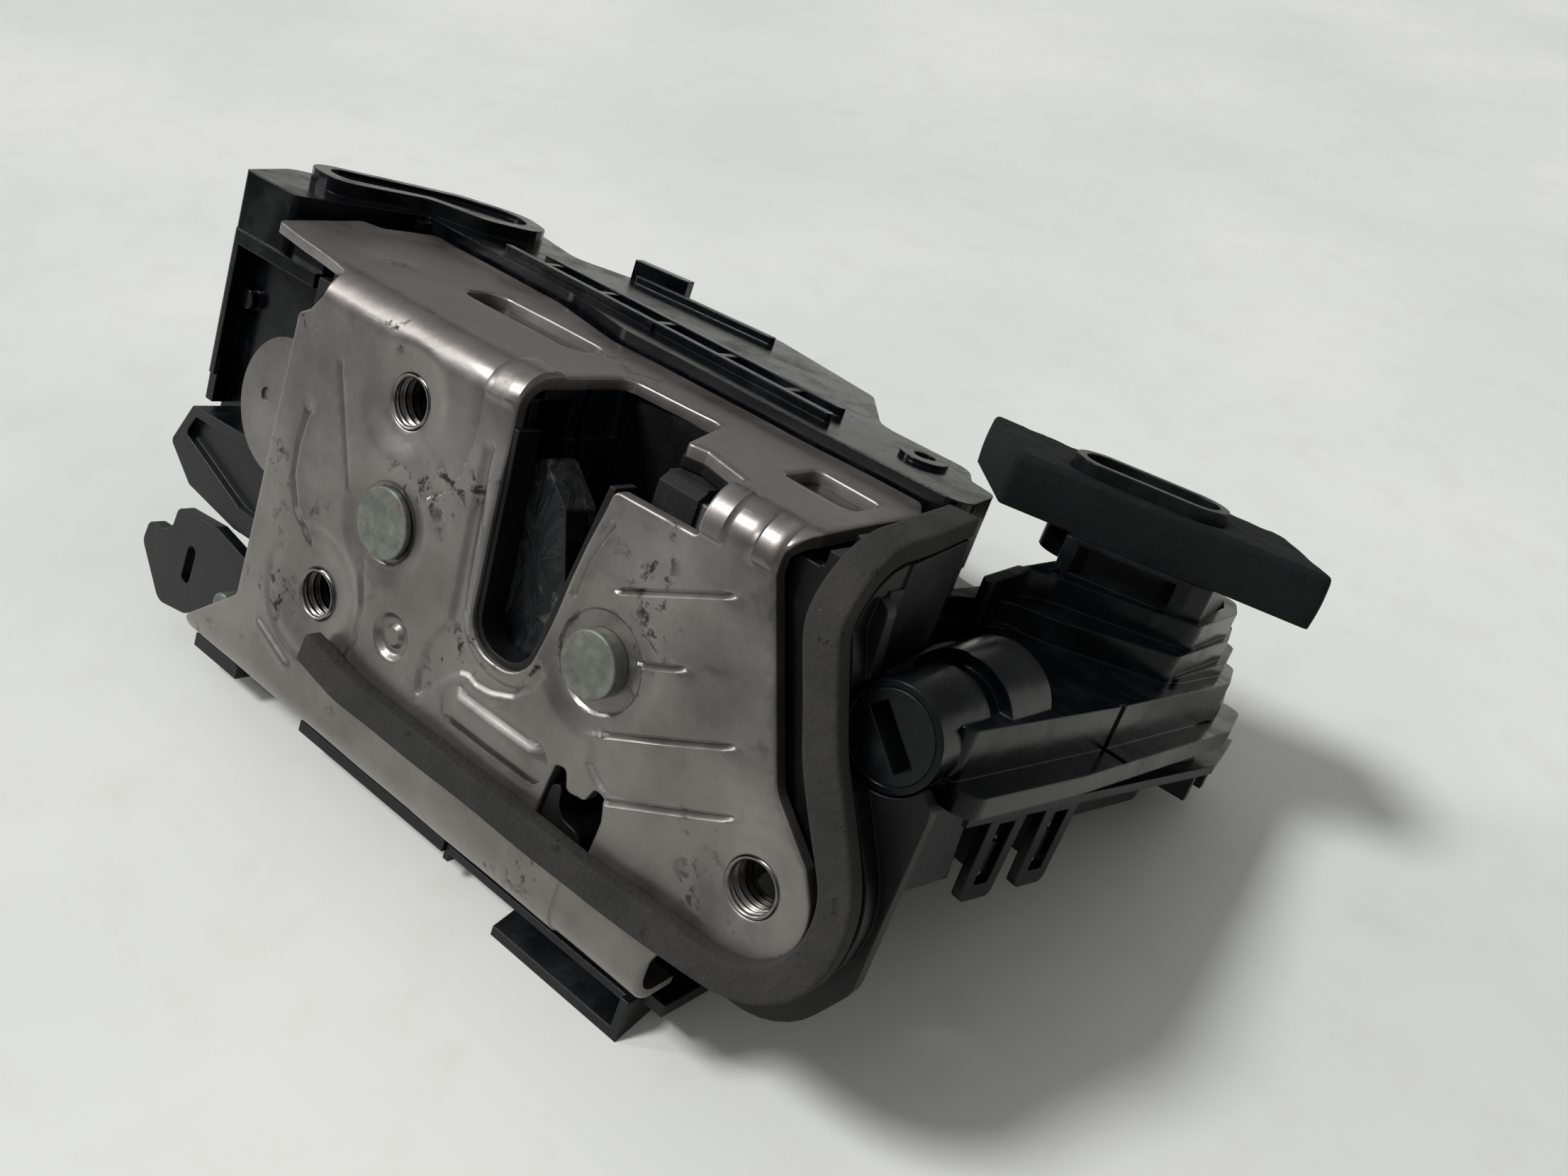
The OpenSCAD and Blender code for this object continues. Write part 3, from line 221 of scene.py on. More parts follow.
# %% Bench
bpy.ops.mesh.primitive_plane_add(size=4)
bench = bpy.context.object
bench.name = "bench"
paint, tree, surface, place = start("painted_board", Roughness=0.6)
stain = spread(tree, noise(tree, place, 14, 6.0, roughness=0.62), 0.50, 0.72)
warm = ramp(tree, noise(tree, place, 160, 2.0), (0.35, "#c6c8c4"), (0.65, "#d0d1cc"))
board = mix(tree, spread(tree, stain, 0, 1, 0, 0.10), warm, linear("#a09a8c"))
tree.links.new(board, surface.inputs["Base Color"])
bench.data.materials.append(paint)

# %% [markdown]
# ## Finishes
# The plate is cold rolled steel sheet, pressed and left bare. Oil and time dull it: the eye sees a
# grey-brown satin metal, darker stains where dirt sat, a few scratches and small spots of rust.

# %% Pressed steel
def pressed_steel(name, tone, stains):
    """Bare pressed sheet: clouded satin metal, clusters of dark stains, rust specks, fine scratches."""
    material, tree, surface, place = start(name, Metallic=0.85, Roughness=0.38)
    cloud = noise(tree, place, 16, 4.0, roughness=0.6)
    fine = noise(tree, place, 0.9, 3.0)
    base = ramp(tree, cloud, (0.30, tone[0]), (0.52, tone[1]), (0.74, tone[2]))
    clusters = spread(tree, noise(tree, place, 15, 2.0), 0.56, 0.68)
    blots = spread(tree, noise(tree, place, 2.6, 6.0, roughness=0.70, distortion=0.4), 0.53, 0.60)
    dirt = add(tree, "ShaderNodeMath", {0: clusters, 1: blots}, operation="MULTIPLY").outputs[0]
    dirty = mix(tree, spread(tree, dirt, 0, 1, 0, stains), base, linear("#241f1c"))
    rust_spots = add(
        tree, "ShaderNodeTexVoronoi", {"Vector": place, "Scale": per_mm(17), "Randomness": 1.0}
    ).outputs["Distance"]
    rust = spread(tree, rust_spots, 0.040, 0.022)
    rusty = mix(tree, spread(tree, rust, 0, 1, 0, 0.8), dirty, linear("#5b3624"))
    tree.links.new(rusty, surface.inputs["Base Color"])
    rough = spread(tree, cloud, 0.3, 0.7, 0.31, 0.44)
    rough = add(tree, "ShaderNodeMath", {0: rough, 1: spread(tree, dirt, 0, 1, 0, 0.25)}, operation="ADD")
    tree.links.new(rough.outputs[0], surface.inputs["Roughness"])
    # Noise squeezed along one direction draws short straight lines
    squeezed = add(tree, "ShaderNodeMapping",
                   {"Vector": place, "Rotation": (0.2, 0.5, 0.9), "Scale": (0.12, 1.0, 1.0)}).outputs[0]
    scratches = noise(tree, squeezed, 0.5, 2.0)
    bump(tree, surface, (fine, 0.010), (spread(tree, scratches, 0.67, 0.75), 0.008), (cloud, 0.20))
    return material


plate_steel = pressed_steel("pressed_steel", ("#6a6663", "#7e7a77", "#8f8b88"), 0.90)

# %% [markdown]
# The two pivots are zinc plated steel, headed over cold. Zinc dulls to a faintly green grey with pale
# blotches, and the head is a little dirty round its rim.

# %% Zinc
zinc, tree, surface, place = start("dulled_zinc", Metallic=0.75, Roughness=0.48)
cloud = noise(tree, place, 2.4, 5.0, roughness=0.62)
specks = spread(tree, noise(tree, place, 1.2, 4.0, roughness=0.7), 0.62, 0.70)
base = ramp(tree, cloud, (0.30, "#5d605a"), (0.52, "#72766f"), (0.72, "#898d86"))
spot = spread(tree, noise(tree, place, 5.2, 2.0), 0.66, 0.72)
dull = mix(tree, spread(tree, specks, 0, 1, 0, 0.5), base, linear("#474843"))
spotted = mix(tree, spread(tree, spot, 0, 1, 0, 0.6), dull, linear("#6a4a38"))
tree.links.new(spotted, surface.inputs["Base Color"])
tree.links.new(spread(tree, cloud, 0.3, 0.7, 0.55, 0.40), surface.inputs["Roughness"])
bump(tree, surface, (noise(tree, place, 0.8, 4.0), 0.02), (cloud, 0.06), edge=0.6)

# %% [markdown]
# Springs are drawn wire: bright, with marks that run along the wire too fine to see, so a low
# roughness and a light mottle are enough.

# %% Wire
wire, tree, surface, place = start("drawn_wire", Metallic=1.0, Roughness=0.30)
drawn = ramp(tree, noise(tree, place, 3, 3.0), (0.3, "#85888a"), (0.7, "#a9acad"))
tree.links.new(drawn, surface.inputs["Base Color"])
bump(tree, surface, (noise(tree, place, 0.4, 2.0), 0.006))

# %% [markdown]
# The claw and the pawl are phosphated steel, nearly black, and they carry old grease. Grease gathers
# in smears: some pale and greenish, some clear and wet. Colour and roughness both follow the smears.

# %% Greasy coating
grease, tree, surface, place = start("greased_phosphate", Metallic=0.15, Roughness=0.42)
drag = add(tree, "ShaderNodeMapping",
           {"Vector": place, "Rotation": (0.3, 0.6, 0.4), "Scale": (1.0, 1.0, 0.35)}).outputs[0]
smear = noise(tree, drag, 3.4, 6.0, roughness=0.66, distortion=0.9)
thick = spread(tree, smear, 0.54, 0.70)
pale = spread(tree, noise(tree, drag, 7, 3.0, distortion=0.6), 0.52, 0.70)
base = ramp(tree, noise(tree, place, 5, 3.0), (0.3, "#090a0c"), (0.7, "#131418"))
tint = ramp(tree, pale, (0.0, "#26292c"), (1.0, "#8a8c80"))
tree.links.new(mix(tree, spread(tree, thick, 0, 1, 0, 0.8), base, tint), surface.inputs["Base Color"])
tree.links.new(spread(tree, smear, 0.35, 0.70, 0.18, 0.60), surface.inputs["Roughness"])
bump(tree, surface, (smear, 0.6), (noise(tree, place, 0.5, 2.0), 0.02), edge=0.4)

# %% [markdown]
# Door lock mouldings are glass filled nylon or acetal. The drive housing comes from a polished tool
# and shows a soft gloss, dust and hairline rubs; the frame, cover and levers come from an eroded tool
# and look matt and grainy.

# %% Moulded plastics
def moulded(name, dark, light, rough, grain, depth, dust, shine=0.28):
    """Moulded plastic: faint cloud, tool grain of a given size and depth in mm, and a film of dust."""
    material, tree, surface, place = start(name, Roughness=sum(rough) / 2, IOR=1.53,
                                           Specular_IOR_Level=shine)
    cloud = noise(tree, place, 22, 3.0)
    base = ramp(tree, cloud, (0.3, dark), (0.7, light))
    film = spread(tree, noise(tree, place, 9, 5.0, roughness=0.65), 0.48, 0.75)
    fleck = spread(tree, noise(tree, place, 0.9, 2.0), 0.70, 0.76)
    film = add(tree, "ShaderNodeMath", {0: film, 1: fleck}, operation="MAXIMUM").outputs[0]
    dusty = mix(tree, spread(tree, film, 0, 1, 0, dust), base, linear("#8d9095"))
    tree.links.new(dusty, surface.inputs["Base Color"])
    tree.links.new(spread(tree, film, 0, 1, *rough), surface.inputs["Roughness"])
    bump(tree, surface, (noise(tree, place, grain, 2.0), depth), (cloud, 0.25), edge=0.35)
    return material


housing_black = moulded("polished_tool_nylon", "#020304", "#050609", (0.20, 0.40), 0.5, 0.004, 0.014, 0.20)
black_plastic = moulded("eroded_tool_nylon", "#040506", "#090a0c", (0.34, 0.50), 0.35, 0.012, 0.025)
# A darker, less dusty copy of the eroded-tool nylon: painted shade for parts seen deep in the slot and
# windows.
shaded_inner_black = moulded("shaded_inner_nylon", "#020203", "#050506", (0.42, 0.55), 0.35, 0.010, 0.006)
brown_plastic = moulded("switch_moulding", "#3a2c22", "#46362a", (0.40, 0.5), 0.35, 0.01, 0.05)
natural_plastic = moulded("natural_acetal", "#cfc6ae", "#ddd5be", (0.30, 0.4), 0.35, 0.006, 0.02)
natural_plastic.node_tree.nodes["Principled BSDF"].inputs["Subsurface Weight"].default_value = 0.1
bumper_rubber = moulded("moulded_rubber", "#101011", "#17171a", (0.62, 0.75), 0.3, 0.02, 0.10)

# %% [markdown]
# The seal and the connector pad are cut from closed cell foam. Cut cells show as a fine, dull grain
# with a few torn pits, and the foam picks up lint.

# %% Cut foam
foam, tree, surface, place = start("cut_cell_foam", Roughness=0.90, IOR=1.45, Specular_IOR_Level=0.3)
cloud = noise(tree, place, 12, 4.0, roughness=0.6)
cells = add(tree, "ShaderNodeTexVoronoi", {"Vector": place, "Scale": per_mm(0.8)}).outputs["Distance"]
pits = spread(tree, noise(tree, place, 2.2, 4.0, roughness=0.7), 0.64, 0.72)
base = ramp(tree, cloud, (0.3, "#242423"), (0.7, "#333231"))
lint = spread(tree, noise(tree, place, 1.4, 6.0, roughness=0.8), 0.66, 0.71)
dusty = mix(tree, spread(tree, lint, 0, 1, 0, 0.6), base, linear("#77746e"))
# The torn pits are painted darker than the foam round them: painted shade inside them.
colour_with_pit_shade = mix(tree, spread(tree, pits, 0, 1, 0, 0.5), dusty, linear("#1c1c1e"))
tree.links.new(colour_with_pit_shade, surface.inputs["Base Color"])
bump(tree, surface, (cells, 0.10), (pits, -0.25), (cloud, 0.6))

# %% [markdown]
# The connector pad is the same foam with its moulded skin still on: smoother, nearly black.

# %% Skinned foam
pad_skin, tree, surface, place = start("skinned_foam", Roughness=0.78, IOR=1.45, Specular_IOR_Level=0.25)
cloud = noise(tree, place, 8, 5.0, roughness=0.62)
cells = add(tree, "ShaderNodeTexVoronoi", {"Vector": place, "Scale": per_mm(1.1)}).outputs["Distance"]
base = ramp(tree, cloud, (0.3, "#07080a"), (0.7, "#0f1012"))
lint = spread(tree, noise(tree, place, 1.6, 5.0, roughness=0.8), 0.66, 0.72)
dusty = mix(tree, spread(tree, lint, 0, 1, 0, 0.3), base, linear("#6b6c6d"))
tree.links.new(dusty, surface.inputs["Base Color"])
bump(tree, surface, (cells, 0.05), (cloud, 0.30))

# %% [markdown]
# Contacts are stamped from sheet: brass for the sliding tracks, tin over copper for the pins.

# %% Contacts
def contact(name, roughness, mottle, dark, light):
    """Stamped contact metal with a faint mottle of a given size in mm."""
    material, tree, surface, place = start(name, Metallic=1.0, Roughness=roughness)
    sheet = ramp(tree, noise(tree, place, mottle, 3.0), (0.3, dark), (0.7, light))
    tree.links.new(sheet, surface.inputs["Base Color"])
    bump(tree, surface, (noise(tree, place, 0.4, 2.0), 0.008))
    return material


brass = contact("stamped_brass", 0.32, 4, "#b58a44", "#cfa65c")
tin = contact("tinned_contact", 0.34, 3, "#a9aaa8", "#c4c5c2")

# %% [markdown]
# Each CAD node already names its material slot in the record, so one table gives every node its finish,
# except three parts deep in the lock, which get a darker copy of the black nylon as painted shade.

# %% Finishes on the CAD nodes
FINISH = {
    "plate_steel": plate_steel, "rivet_steel": zinc, "spring_steel": wire, "claw_coat": grease,
    "black_plastic": black_plastic, "housing_plastic": housing_black, "brown_plastic": brown_plastic,
    "natural_plastic": natural_plastic, "bumper_rubber": bumper_rubber, "seal_foam": foam,
    "contact_brass": brass, "contact_tin": tin,
}
for part in frame["record"]["subparts"]:
    node = frame["nodes"][part["node"]]
    node.data.materials.clear()
    inner = part["node"] in ("slot_liner", "latch_frame", "latch_cover")
    # Frame, cover and slot liner take the darker copy, which paints shade on them.
    node.data.materials.append(shaded_inner_black if inner else FINISH[part["material_slot"]])

# %% [markdown]
# ## The pressed plate
# A press draws the whole plate from one sheet, so its relief is soft and runs together: dishes round
# the screw holes, a raised rim round the slot, beads and creases. CAD has the outline and the main
# steps. Here the front is one fine surface over two parameters: x along the fold, and s, the way along
# the bent sheet from the lower lip over the face and the fold to the flange.

# %% The bent sheet
FOLD_R, LIP_R, SHEET = 5.0, 6.0, 1.8
FACE_TOP, FACE_LOW = 7.0, -52.0
FOLD_END = FACE_TOP + FOLD_R * math.pi / 2
LIP_END = FACE_LOW - LIP_R * math.pi / 2


def sheet_point(x, s, h):
    """Drawing point of parameter (x, s) at height h out of the sheet: on the face z is s; the fold
    and the lip are quarter circles of their radius; flange and lip end run straight on."""
    fold = np.clip((s - FACE_TOP) / FOLD_R, 0, math.pi / 2)
    lip = np.clip((FACE_LOW - s) / LIP_R, 0, math.pi / 2)
    out_y, out_z = -np.cos(fold) * np.cos(lip), np.sin(fold) - np.sin(lip)
    y = FOLD_R * (1 - np.cos(fold)) + LIP_R * (1 - np.cos(lip)) + np.maximum(s - FOLD_END, 0)
    y = y + np.maximum(LIP_END - s, 0)
    z = np.clip(s, FACE_LOW, FACE_TOP) + FOLD_R * np.sin(fold) - LIP_R * np.sin(lip)
    return np.stack([x + 0 * s, y + h * out_y, z + h * out_z], -1)


def from_flange(y):
    """s of a point y behind the face on the flange or on the fold."""
    return np.where(y >= FOLD_R, FOLD_END + y - FOLD_R,
                    FACE_TOP + FOLD_R * np.arccos(np.clip(1 - y / FOLD_R, -1, 1)))


# %% [markdown]
# Outlines are corner lists, x and s with a rounding radius. The flange corners are measured as y, so
# they go through from_flange first. Arcs replace the corners, and then the line is cut into short steps.

# %% Outlines of the sheet
def rounded(corners, steps=6):
    """Closed outline: every corner (x, s, radius) becomes an arc that touches both its sides."""
    path = []
    count = len(corners)
    for i, corner in enumerate(corners):
        here = np.array(corner[:2], float)
        if len(corner) < 3:
            path.append(here)
            continue
        to_last = np.array(corners[i - 1][:2], float) - here
        to_next = np.array(corners[(i + 1) % count][:2], float) - here
        to_last, to_next = to_last / np.linalg.norm(to_last), to_next / np.linalg.norm(to_next)
        half = math.acos(np.clip(to_last @ to_next, -1, 1)) / 2
        middle_way = (to_last + to_next) / np.linalg.norm(to_last + to_next)
        middle = here + middle_way * corner[2] / math.sin(half)
        reach = corner[2] / math.tan(half)
        a, b = here + to_last * reach - middle, here + to_next * reach - middle
        turn = math.atan2(a[0] * b[1] - a[1] * b[0], a @ b)
        t = turn * np.linspace(0, 1, steps + 1)
        arc = np.stack([a[0] * np.cos(t) - a[1] * np.sin(t), a[0] * np.sin(t) + a[1] * np.cos(t)], 1)
        path.extend(middle + arc)
    return np.array(path)


def stepped(path, step, closed=True):
    """The line with points added so that no side is longer than step."""
    ends = np.roll(path, -1, 0) if closed else path[1:]
    pieces = []
    for a, b in zip(path, ends):
        count = max(1, math.ceil(np.linalg.norm(b - a) / step))
        pieces.append(a + (b - a) * (np.arange(count) / count)[:, None])
    if not closed:
        pieces.append(path[-1:])
    return np.concatenate(pieces)


def moved(line, amount, closed=True):
    """The line moved sideways by an amount in mm, point by point."""
    along = np.roll(line, -1, 0) - np.roll(line, 1, 0) if closed else np.gradient(line, axis=0)
    normal = np.stack([-along[:, 1], along[:, 0]], 1) / np.linalg.norm(along, axis=1)[:, None]
    return line + amount * normal


def circle(centre, radius, count=64):
    """Closed circle of a given count of points."""
    angle = np.arange(count) / count * 2 * math.pi
    return np.stack([centre[0] + radius * np.cos(angle), centre[1] + radius * np.sin(angle)], 1)


def on_flange(corners):
    """Corners given as (x, y behind the face, radius), turned into (x, s, radius)."""
    return [(c[0], float(from_flange(c[1])), *c[2:]) for c in corners]


HOLES = [(0.0, 0.0), (-9.7, -35.4), (76.5, -31.0)]
CLAW_PIVOT, PAWL_PIVOT, BUTTON = (1.9, -17.8), (45.2, -16.8), (8.8, -32.6)
HOLE_R, HOLE_LIP = 3.4, 0.5
LOBE_R = 9.3
lobe_turn = np.radians(np.arange(-88, 32, 10))
lobe = [tuple(p) for p in HOLES[2] + LOBE_R * np.stack([np.cos(lobe_turn), np.sin(lobe_turn)], 1)]
outer = rounded(
    on_flange([(-44, 7.2, 2), (-21, 2.6, 0.8)])
    + [(-21.2, 7.6, 1), (-23.4, 4.8, 1.4), (-25.8, 3.4, 1), (-26, -14, 8), (-26.4, -43.8, 1.5),
       (-38.6, -54.04, 3), (-39, -65.42), (66, -65.42), (66.5, -50, 3), (69.5, -42.8, 5)]
    + lobe
    + [(82.9, -23.8, 2), (75.7, -17.5, 6), (65.6, 6, 2), (65.5, 9.0)]
    + on_flange([(67.5, 4, 1), (66, 30, 3), (63, 35, 2), (4, 35, 10), (-14, 40, 10), (-40, 41.5, 3),
                 (-47.8, 42, 2), (-47.6, 29.8, 1), (-51.2, 28.2, 1.5)])
)
mouth = rounded(
    [(23.4, -25.7, 5.6), (34.8, -25.7, 5.6), (39.7, 4.9, 1.2), (53.6, 5.3, 0.8)]
    + on_flange([(53.4, 5.2, 2), (53.4, 7, 1.5), (44.5, 10, 0.6), (41.5, 9, 1), (36.5, 23, 2),
                 (19.4, 21.5, 2.5)])
    + [(20.6, 7, 3)]
)
windows = [
    rounded(on_flange([(-15.8, 19.8, 3.4), (9.8, 19.8, 3.4), (9.4, 28.6, 3.4), (-16.2, 28.2, 3.4)])),
    rounded(on_flange([(51.8, 16.6, 1.4), (63.2, 16.4, 1.4), (62.6, 25, 1.4), (51.2, 25.8, 1.4)])),
]
notch = rounded([(43.8, -33.2, 0.6), (45.6, -32.7, 0.8), (46.6, -35.6, 1), (50, -35, 1), (51, -32.6, 0.8),
                 (52.8, -32.8, 0.8), (53.4, -36, 2), (52.6, -46, 1), (42.6, -46, 1), (43.4, -36, 1)])
openings = [mouth, *windows, notch]
round_holes = [circle(at, HOLE_R + HOLE_LIP) for at in HOLES]
round_holes += [circle(CLAW_PIVOT, 4.1), circle(PAWL_PIVOT, 3.4)]

# %% [markdown]
# The relief is one height, in mm out of the sheet, for every (x, s). Each feature is a soft step of the
# distance to a point, a line or a region, and the features simply add up, as they do in the press.

# %% Distances
def ease(t):
    """Smooth step: 3t² − 2t³ of t clamped to 0…1."""
    t = np.clip(t, 0, 1)
    return t * t * (3 - 2 * t)


def from_point(x, s, at):
    return np.hypot(x - at[0], s - at[1])


def from_line(x, s, points, closed=False):
    """Distance to a chain of segments: the least of the distances to each segment."""
    points = np.asarray(points, float)
    ends = np.roll(points, -1, 0) if closed else points[1:]
    best = np.full(np.shape(x), 1e9)
    for a, b in zip(points, ends):
        d = b - a
        t = np.clip(((x - a[0]) * d[0] + (s - a[1]) * d[1]) / (d @ d + 1e-12), 0, 1)
        best = np.minimum(best, np.hypot(x - a[0] - t * d[0], s - a[1] - t * d[1]))
    return best


def inside(x, s, outline):
    """True inside a closed outline: a level ray crosses its sides an odd number of times."""
    odd = np.zeros(np.shape(x), bool)
    for a, b in zip(outline, np.roll(outline, -1, 0)):
        if a[1] == b[1]:
            continue
        crossing = (s < a[1]) != (s < b[1])
        odd ^= crossing & (x < a[0] + (s - a[1]) * (b[0] - a[0]) / (b[1] - a[1]))
    return odd


def side(x, s, outline):
    """Signed distance to a region: positive outside, negative inside."""
    away = from_line(x, s, outline, closed=True)
    return np.where(inside(x, s, outline), -away, away)


# %% [markdown]
# The features were measured on the photograph and turned into plate coordinates. Light from the upper
# left tells their sign: a bead is bright on its upper left side, a dish on its lower right side.

# %% Relief of the plate
STEP_LINE = [(13.9, 12), (14.2, 8.0), (14.7, 2.3), (14.4, -2.2), (13.7, -5.5), (12.0, -8.5), (9.0, -10.6)]
PLATEAU = [(17.7, 0.7), (18.4, -9.9), (19.3, -18.9), (19.7, -24.7), (16.9, -29.5), (16.3, -34.2),
           (16.7, -37.1), (19.5, -33.3), (22.8, -30.0), (24.8, -29.4), (26.6, -30.0), (29.4, -29.6),
           (33.1, -28.1), (35.7, -25.6), (36.8, -23.2), (34, -20), (22, -20)]
LEFT_CRESCENT = [(-19.0, -9.9), (-19.5, -14.9), (-19.1, -19.5), (-16.9, -23.9), (-13.0, -27.5)]
HOLE_CRESCENT = [(-0.4, -26.2), (1.5, -31.4), (1.5, -36.9), (0.0, -42.8)]
SCRIBE_LINE = [(-14.4, 0), (-7.1, -16.2)]
SLOT_GROOVE = [(18.3, 0.6), (19.2, -9.6), (20.2, -17.1), (21.0, -21.5)]
MOUTH_GROOVE = [(41.1, 0.6), (39.3, -4.8), (38.5, -10.3)]
FOOT_BEAD = [(24.7, -35.4), (39.4, -35.2)]
CORNER_BEAD = [(-19.6, -45.6), (-11.6, -48.6)]
LOW_EDGE = [(53.1, -42.1), (58.3, -43.6), (66.5, -43.6), (74.5, -42.0)]
PAD_ONE = [(69.4, -15.0), (50.0, -24.8), (48.1, -26.5), (48.1, -30.2), (51.1, -32.2), (53.4, -32.9),
           (72.7, -23.2)]
CREASES = [
    [(45.5, -6.3), (62.5, 1.8)], [(51.6, -13.6), (59.3, -9.9)], [(50.0, -24.8), (69.4, -15.0)],
    [(53.4, -32.9), (72.7, -23.2)],
]
# Round hollows: centre, radius of the full depth, outer radius, depth
DISHES = [(at, 3.4, 9.4, 1.15) for at in HOLES] + [
    (CLAW_PIVOT, 6.2, 9.6, 0.55), (CLAW_PIVOT, 5.8, 6.2, 0.25), (PAWL_PIVOT, 7.1, 11.0, 0.55),
    (PAWL_PIVOT, 6.7, 7.1, 0.35), (BUTTON, 2.5, 3.8, 0.95),
]
# Flat coined seats of the rivets: centre, radius, height
SEATS = [(CLAW_PIVOT, 5.8, -0.8), (PAWL_PIVOT, 6.7, -0.9)]
# Bridges over the fold: middle x, half width, lowest and highest s, height
BRIDGES = [(17.1, 2.7, 7.8, 17.6, 0.5), (55.1, 1.7, 6.3, 13.6, 0.55), (63.3, 1.4, 6.5, 13.0, 0.45)]
# Beads (positive) and grooves (negative): line, half width, height
RIDGES = [
    (CORNER_BEAD, 1.4, 0.55), (LEFT_CRESCENT, 0.9, -0.55), (HOLE_CRESCENT, 0.9, -0.42),
    (SCRIBE_LINE, 0.45, -0.34), (SLOT_GROOVE, 0.55, -0.40), (MOUTH_GROOVE, 0.6, -0.50),
]
slot_edge = rounded([(23.4, -25.7, 5.6), (34.8, -25.7, 5.6), (41.4, 16), (19.2, 16)])


def dish(x, s, at, inner, outer_r, depth):
    """A round hollow: full depth up to the inner radius, then easing out to the outer radius."""
    return -depth * (1 - ease((from_point(x, s, at) - inner) / (outer_r - inner)))


def ridge(away, half_width, height):
    """A round topped bead or, with a negative height, a groove across the distance to a line."""
    return height * (1 - ease(away / half_width))


def relief(x, s):
    """Height in mm of the front of the sheet over its bent section."""
    # Slow waves of the sheet, none of them near the mouth
    h = 0.05 * np.sin(x * 0.16 + 1.3) * np.cos(s * 0.19 + 0.4) + 0.03 * np.sin(x * 0.31 + s * 0.23)
    h = h * ease((np.hypot(x - 20, s - 5) - 10) / 30)
    for at, inner, outer_r, depth in DISHES:
        h = h + dish(x, s, at, inner, outer_r, depth)
    for at, radius, level in SEATS:
        h = np.where(from_point(x, s, at) < radius, level, h)
    # The small boss in the hollow button
    h = h + 0.60 * (1 - ease((from_point(x, s, BUTTON) - 1.3) / 0.6))
    # Rim of the slot, which fades out towards the fold
    rim = side(x, s, slot_edge)
    low_part = 1 - ease((s + 4) / 7)
    h = h + 0.50 * low_part * (1 - ease((rim - 1.8) / 1.0)) * (rim > -1)
    # Foot plateau: a shallow hollow with a sharp tip
    plateau = side(x, s, PLATEAU)
    h = h - 0.55 * (1 - ease((plateau - 0.1) / 1.1)) * (rim > 1.0)
    # Step to the left of the slot
    step_away = from_line(x, s, STEP_LINE)
    step_x, step_s = np.array(STEP_LINE[::-1]).T
    fall = np.where(x < np.interp(s, step_s, step_x), np.exp(-step_away / 1.8), 0)
    h = h - 0.50 * fall * ease((s + 13) / 5) * ease((20 - s) / 8)
    for middle, half, low, high, rise in BRIDGES:
        bridge = np.maximum(np.abs(x - middle) - half, np.maximum(low - s, s - high))
        h = h + rise * (1 - ease(bridge / 0.5))
    # The oblong bead under the slot has a fine groove round it
    bead = from_line(x, s, FOOT_BEAD)
    h = h + 0.62 * (1 - ease((bead - 1.2) / 1.5)) - 0.20 * np.exp(-((bead - 3.0) / 0.4) ** 2)
    for line, half_width, rise in RIDGES:
        h = h + ridge(from_line(x, s, line), half_width, rise)
    # The sheet swells inside the left crescent and sinks inside the one of the lower hole
    swell = np.exp(-from_line(x, s, LEFT_CRESCENT) / 2.0) * (from_point(x, s, (-4, -15)) < 15.4)
    h = h + 0.35 * swell - 0.3 * ease((11.4 - from_point(x, s, HOLES[1])) / 1.4)
    # Creases of the right half: a groove with a swelling below it, which ends softly on the right
    for start_at, end_at in CREASES:
        away = from_line(x, s, [start_at, end_at])
        slope = (end_at[1] - start_at[1]) / (end_at[0] - start_at[0])
        under = (s < start_at[1] + slope * (x - start_at[0])) & (x > start_at[0] - 9) & (x < end_at[0] + 9)
        fade = ease(from_point(x, s, end_at) / 3.5)
        swell = np.where(under, 0.42 * np.exp(-away / 1.8) * (1 - np.exp(-away / 0.3)), 0)
        h = h + fade * (ridge(away, 0.55, -0.50) + swell)
    pad = side(x, s, PAD_ONE)
    h = h - 0.45 * (1 - ease((pad + 1.2) / 1.2)) * (1 - ease((x - 50) / 12))
    # The edge under the right half is pressed down where the seal lies on it
    below = (s < -42.0 + 0.02 * (x - 60)) * (x > 50)
    return h - 0.30 * below * (1 - np.exp(-from_line(x, s, LOW_EDGE) / 0.8))


# %% [markdown]
# Press tools leave a small roll over at every cut edge. Along the outlines the height follows a quarter
# circle, and extra rings of points carry it.

# %% Roll over at the cut edges
EDGE_R = 0.4
all_outlines = [outer, *openings, *round_holes]


def edge_distance(p):
    """Distance from points to the nearest cut edge."""
    return np.minimum.reduce([from_line(p[:, 0], p[:, 1], line, closed=True) for line in all_outlines])


def on_sheet(p):
    """True for points inside the outline of the sheet and in none of its openings."""
    found = inside(p[:, 0], p[:, 1], outer)
    for opening in [*openings, *round_holes]:
        found &= ~inside(p[:, 0], p[:, 1], opening)
    return found


def rolled(x, s, away):
    """The relief less a quarter circle of EDGE_R next to a cut edge."""
    short = np.clip(EDGE_R - away, 0, EDGE_R)
    return relief(x, s) - (EDGE_R - np.sqrt(EDGE_R**2 - short**2))


# %% [markdown]
# The surface needs small triangles only where it bends. A fine grid of points is thinned by the
# curvature of the relief, and a Delaunay net joins them with the outlines, so nothing is jagged.

